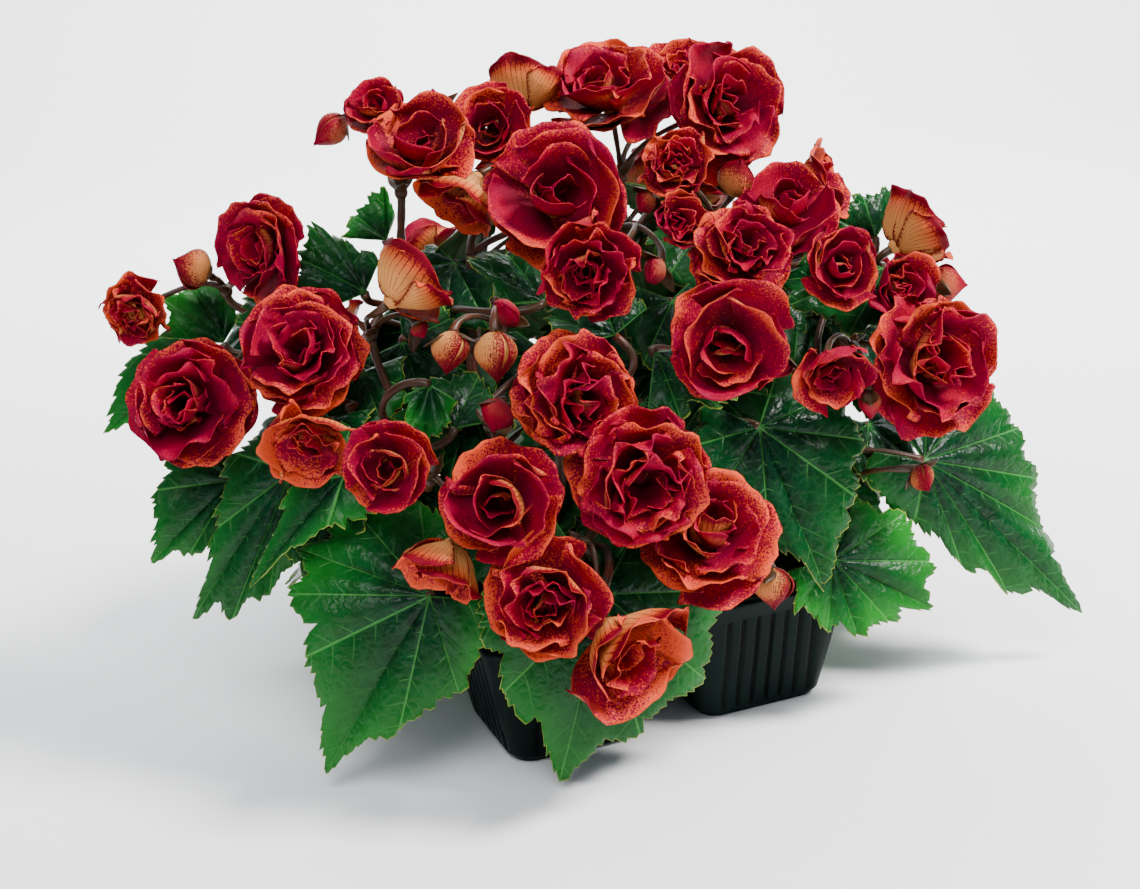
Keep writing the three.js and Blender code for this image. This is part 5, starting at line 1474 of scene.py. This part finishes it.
# Fills a bloom with its seat and its layers of petals, each layer turned on from the last.
def fillBloom(pile, name, place, form):
    radius, base, put, spin = place
    rng = np.random.default_rng(abs(int(base[0] * 37 + base[1] * 11 + base[2])))
    back = brightBacks.get(name, rng.uniform(0.1, 0.6))
    frill = 0.6 if form == "bowl" else rng.uniform(0.9, 2.0)
    addSeat(pile, put, radius, back)
    if form == "bud":
        addBud(pile, put, radius, spin, back, rng)
        return
    lean, way, aside = rng.uniform(0.05, 0.3), rng.uniform(0, 6.28), rng.uniform(0, 0.12) * radius
    for number, layer in enumerate(bloomForms[form]["layers"]):
        petals = layer[0]
        heart = tipped(put, lean * number / 4, way, aside * number / 4)
        for i in range(petals):
            azimuth = spin + number * 2.4 + i / petals * 2 * math.pi
            if number:
                azimuth += rng.uniform(-0.25, 0.25) * (1 + number)
            tone = np.clip(back * (1 - 0.2 * number) + rng.uniform(-0.15, 0.15), 0, 1)
            addPetal(pile, heart, radius, layer, azimuth, tone, frill, rng)


stalks = []
for name, (middle, face, across, form, fork) in seenBlooms.items():
    axis = facing(*face)
    place = bloomPlace(spot(middle), axis, across, form)
    pile = newPile()
    fillBloom(pile, name, place, "bowl" if name in bowls else form)
    piece = meshFrom("petals_" + name, pile, [petal])
    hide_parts("bloom_" + name)
    plant, root = forks[fork]
    stalks.append((name, plant, spot(root), place[1], axis, clearance))
budPiles = {}
for name, (middle, face, across, form, fork) in greenBuds.items():
    plant, root = forks[fork]
    axis = facing(*face)
    place = bloomPlace(spot(middle), axis, across, form)
    fillBloom(budPiles.setdefault(plant, newPile()), name, place, form)
    stalks.append((name, plant, spot(root), place[1], axis, -budOverlap))
for plant, pile in budPiles.items():
    piece = meshFrom("closed_buds_" + plant, pile, [petal])
    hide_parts("plant_" + plant)
for name, (turn, out, height, tilt, across, form, plant) in hiddenBlooms.items():
    axis = facing(turn, tilt)
    middle = facing(turn, 0) * out + skyward * height + packMiddle
    place = bloomPlace(middle, axis, across, form)
    pile = newPile()
    fillBloom(pile, name, place, form)
    piece = meshFrom("petals_" + name, pile, [petal])
    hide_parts("bloom_" + name)
    stalks.append((name, plant, None, place[1], axis, clearance))
print("blooms made")

for name, (plant, root) in forks.items():
    end = spot(root)
    growStem("fork " + name, plant, end, end, skyward, stem["peduncle"], [1.2, 1, 1, 1.1], (0.4, 0.7))
    addKnot(stemPiles[plant], end, 3.0, 0.6)
    addBracts(stemPiles[plant], end, skyward, 10, 3, 55, len(name))
for name, plant, start, base, axis, gap in stalks:
    end = base - axis * gap
    growStem(name, plant, base, end, axis, stem["pedicel"], [1.3, 1, 0.95, 1.1, 1.7], (0.5, 0.75),
             start=start, fullEnd=base + axis * 0.6)
    if name in greenBuds or name.endswith(("bud", "drop", "hanging")):
        addBracts(stemPiles[plant], base, axis, 11, 2, 66, len(name) + 3)
for plant, pile in stemPiles.items():
    piece = meshFrom("stems_" + plant, pile, [stemTissue])
    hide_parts("plant_" + plant)
for plant, pile in leafPiles.items():
    piece = meshFrom("leaves_" + plant, pile, [leafSkin])
    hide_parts("plant_" + plant)
print("stems made")

# ---- stage and light


# A plain matt finish of one colour.
def matt(name, code, rough):
    material, _, shader = newMaterial(name)
    shader.inputs["Base Color"].default_value = colour(code)
    shader.inputs["Roughness"].default_value = rough
    return material


# `front`, `foot` and `back` are how far away the paper starts, leaves the floor and stands upright,
# in metres.
studio = {
    "paper": "#FAFBFC", "rough": 0.8, "halfWidth": 4, "front": -3, "foot": 1.4, "bend": 0.8, "back": 2.2,
    "height": 4, "sky": "#DCE8F6", "skyStrength": 0.42,
}


# A floor that runs back and curves up into a wall.
def makeStage():
    x = np.linspace(-studio["halfWidth"], studio["halfWidth"], 3)
    bend, radius = np.linspace(0, np.pi / 2, 12), studio["bend"]
    away = np.concatenate([[studio["front"]], studio["foot"] + radius * np.sin(bend), [studio["back"]]])
    high = np.concatenate([[0], radius - radius * np.cos(bend), [studio["height"]]])
    grid = np.stack([fromView((px, py, 0)) + skyward * pz for py, pz in zip(away, high) for px in x])
    grid = grid.reshape(len(away), 3, 3) / mm
    index = np.arange(len(away) * 3).reshape(len(away), 3)
    pile = newPile()
    addPoints(pile, grid, {})
    corners = [index[:-1, :-1], index[:-1, 1:], index[1:, 1:], index[1:, :-1]]
    pile["quads"].append(np.stack(corners, -1).reshape(-1, 4))
    floor = meshFrom("floor", pile, [matt("pale studio paper", studio["paper"], studio["rough"])])


# Square lamps: where they stand (right, away, up, in metres), their size, power and tint, and the
# place that they shine at.
lamps = {
    "key": ((1.15, -0.35, 1.55), 0.45, 86, (1.0, 0.98, 0.95), (0, 0, 0.14)),
    "fill": ((-0.3, -1.4, 1.9), 1.2, 42, (0.96, 0.98, 1.0), (0, 0, 0.14)),
    "top": ((-0.3, 0.9, 1.7), 1.2, 10, (1.0, 1.0, 1.0), (0, 0, 0.14)),
    "wall": ((0, 0.9, 1.5), 1.6, 82, (1.0, 1.0, 1.0), (0, 2.2, 0.6)),
}


def addLamp(name, stand, size, power, tint, aim):
    data = bpy.data.lights.new(name, "AREA")
    data.size, data.energy, data.color = size, power, tint
    lamp = bpy.data.objects.new(name, data)
    place = Vector(fromView(stand))
    lamp.location = place
    lamp.rotation_euler = (Vector(fromView(aim)) - place).to_track_quat("-Z", "Y").to_euler()
    bpy.context.scene.collection.objects.link(lamp)


makeStage()
for name, lamp in lamps.items():
    addLamp(name, *lamp)
world = bpy.data.worlds.new("studio")
world.use_nodes = True
sky = world.node_tree.nodes["Background"]
sky.inputs["Color"].default_value = colour(studio["sky"])
sky.inputs["Strength"].default_value = studio["skyStrength"]
bpy.context.scene.world = world
print("stage and light made")
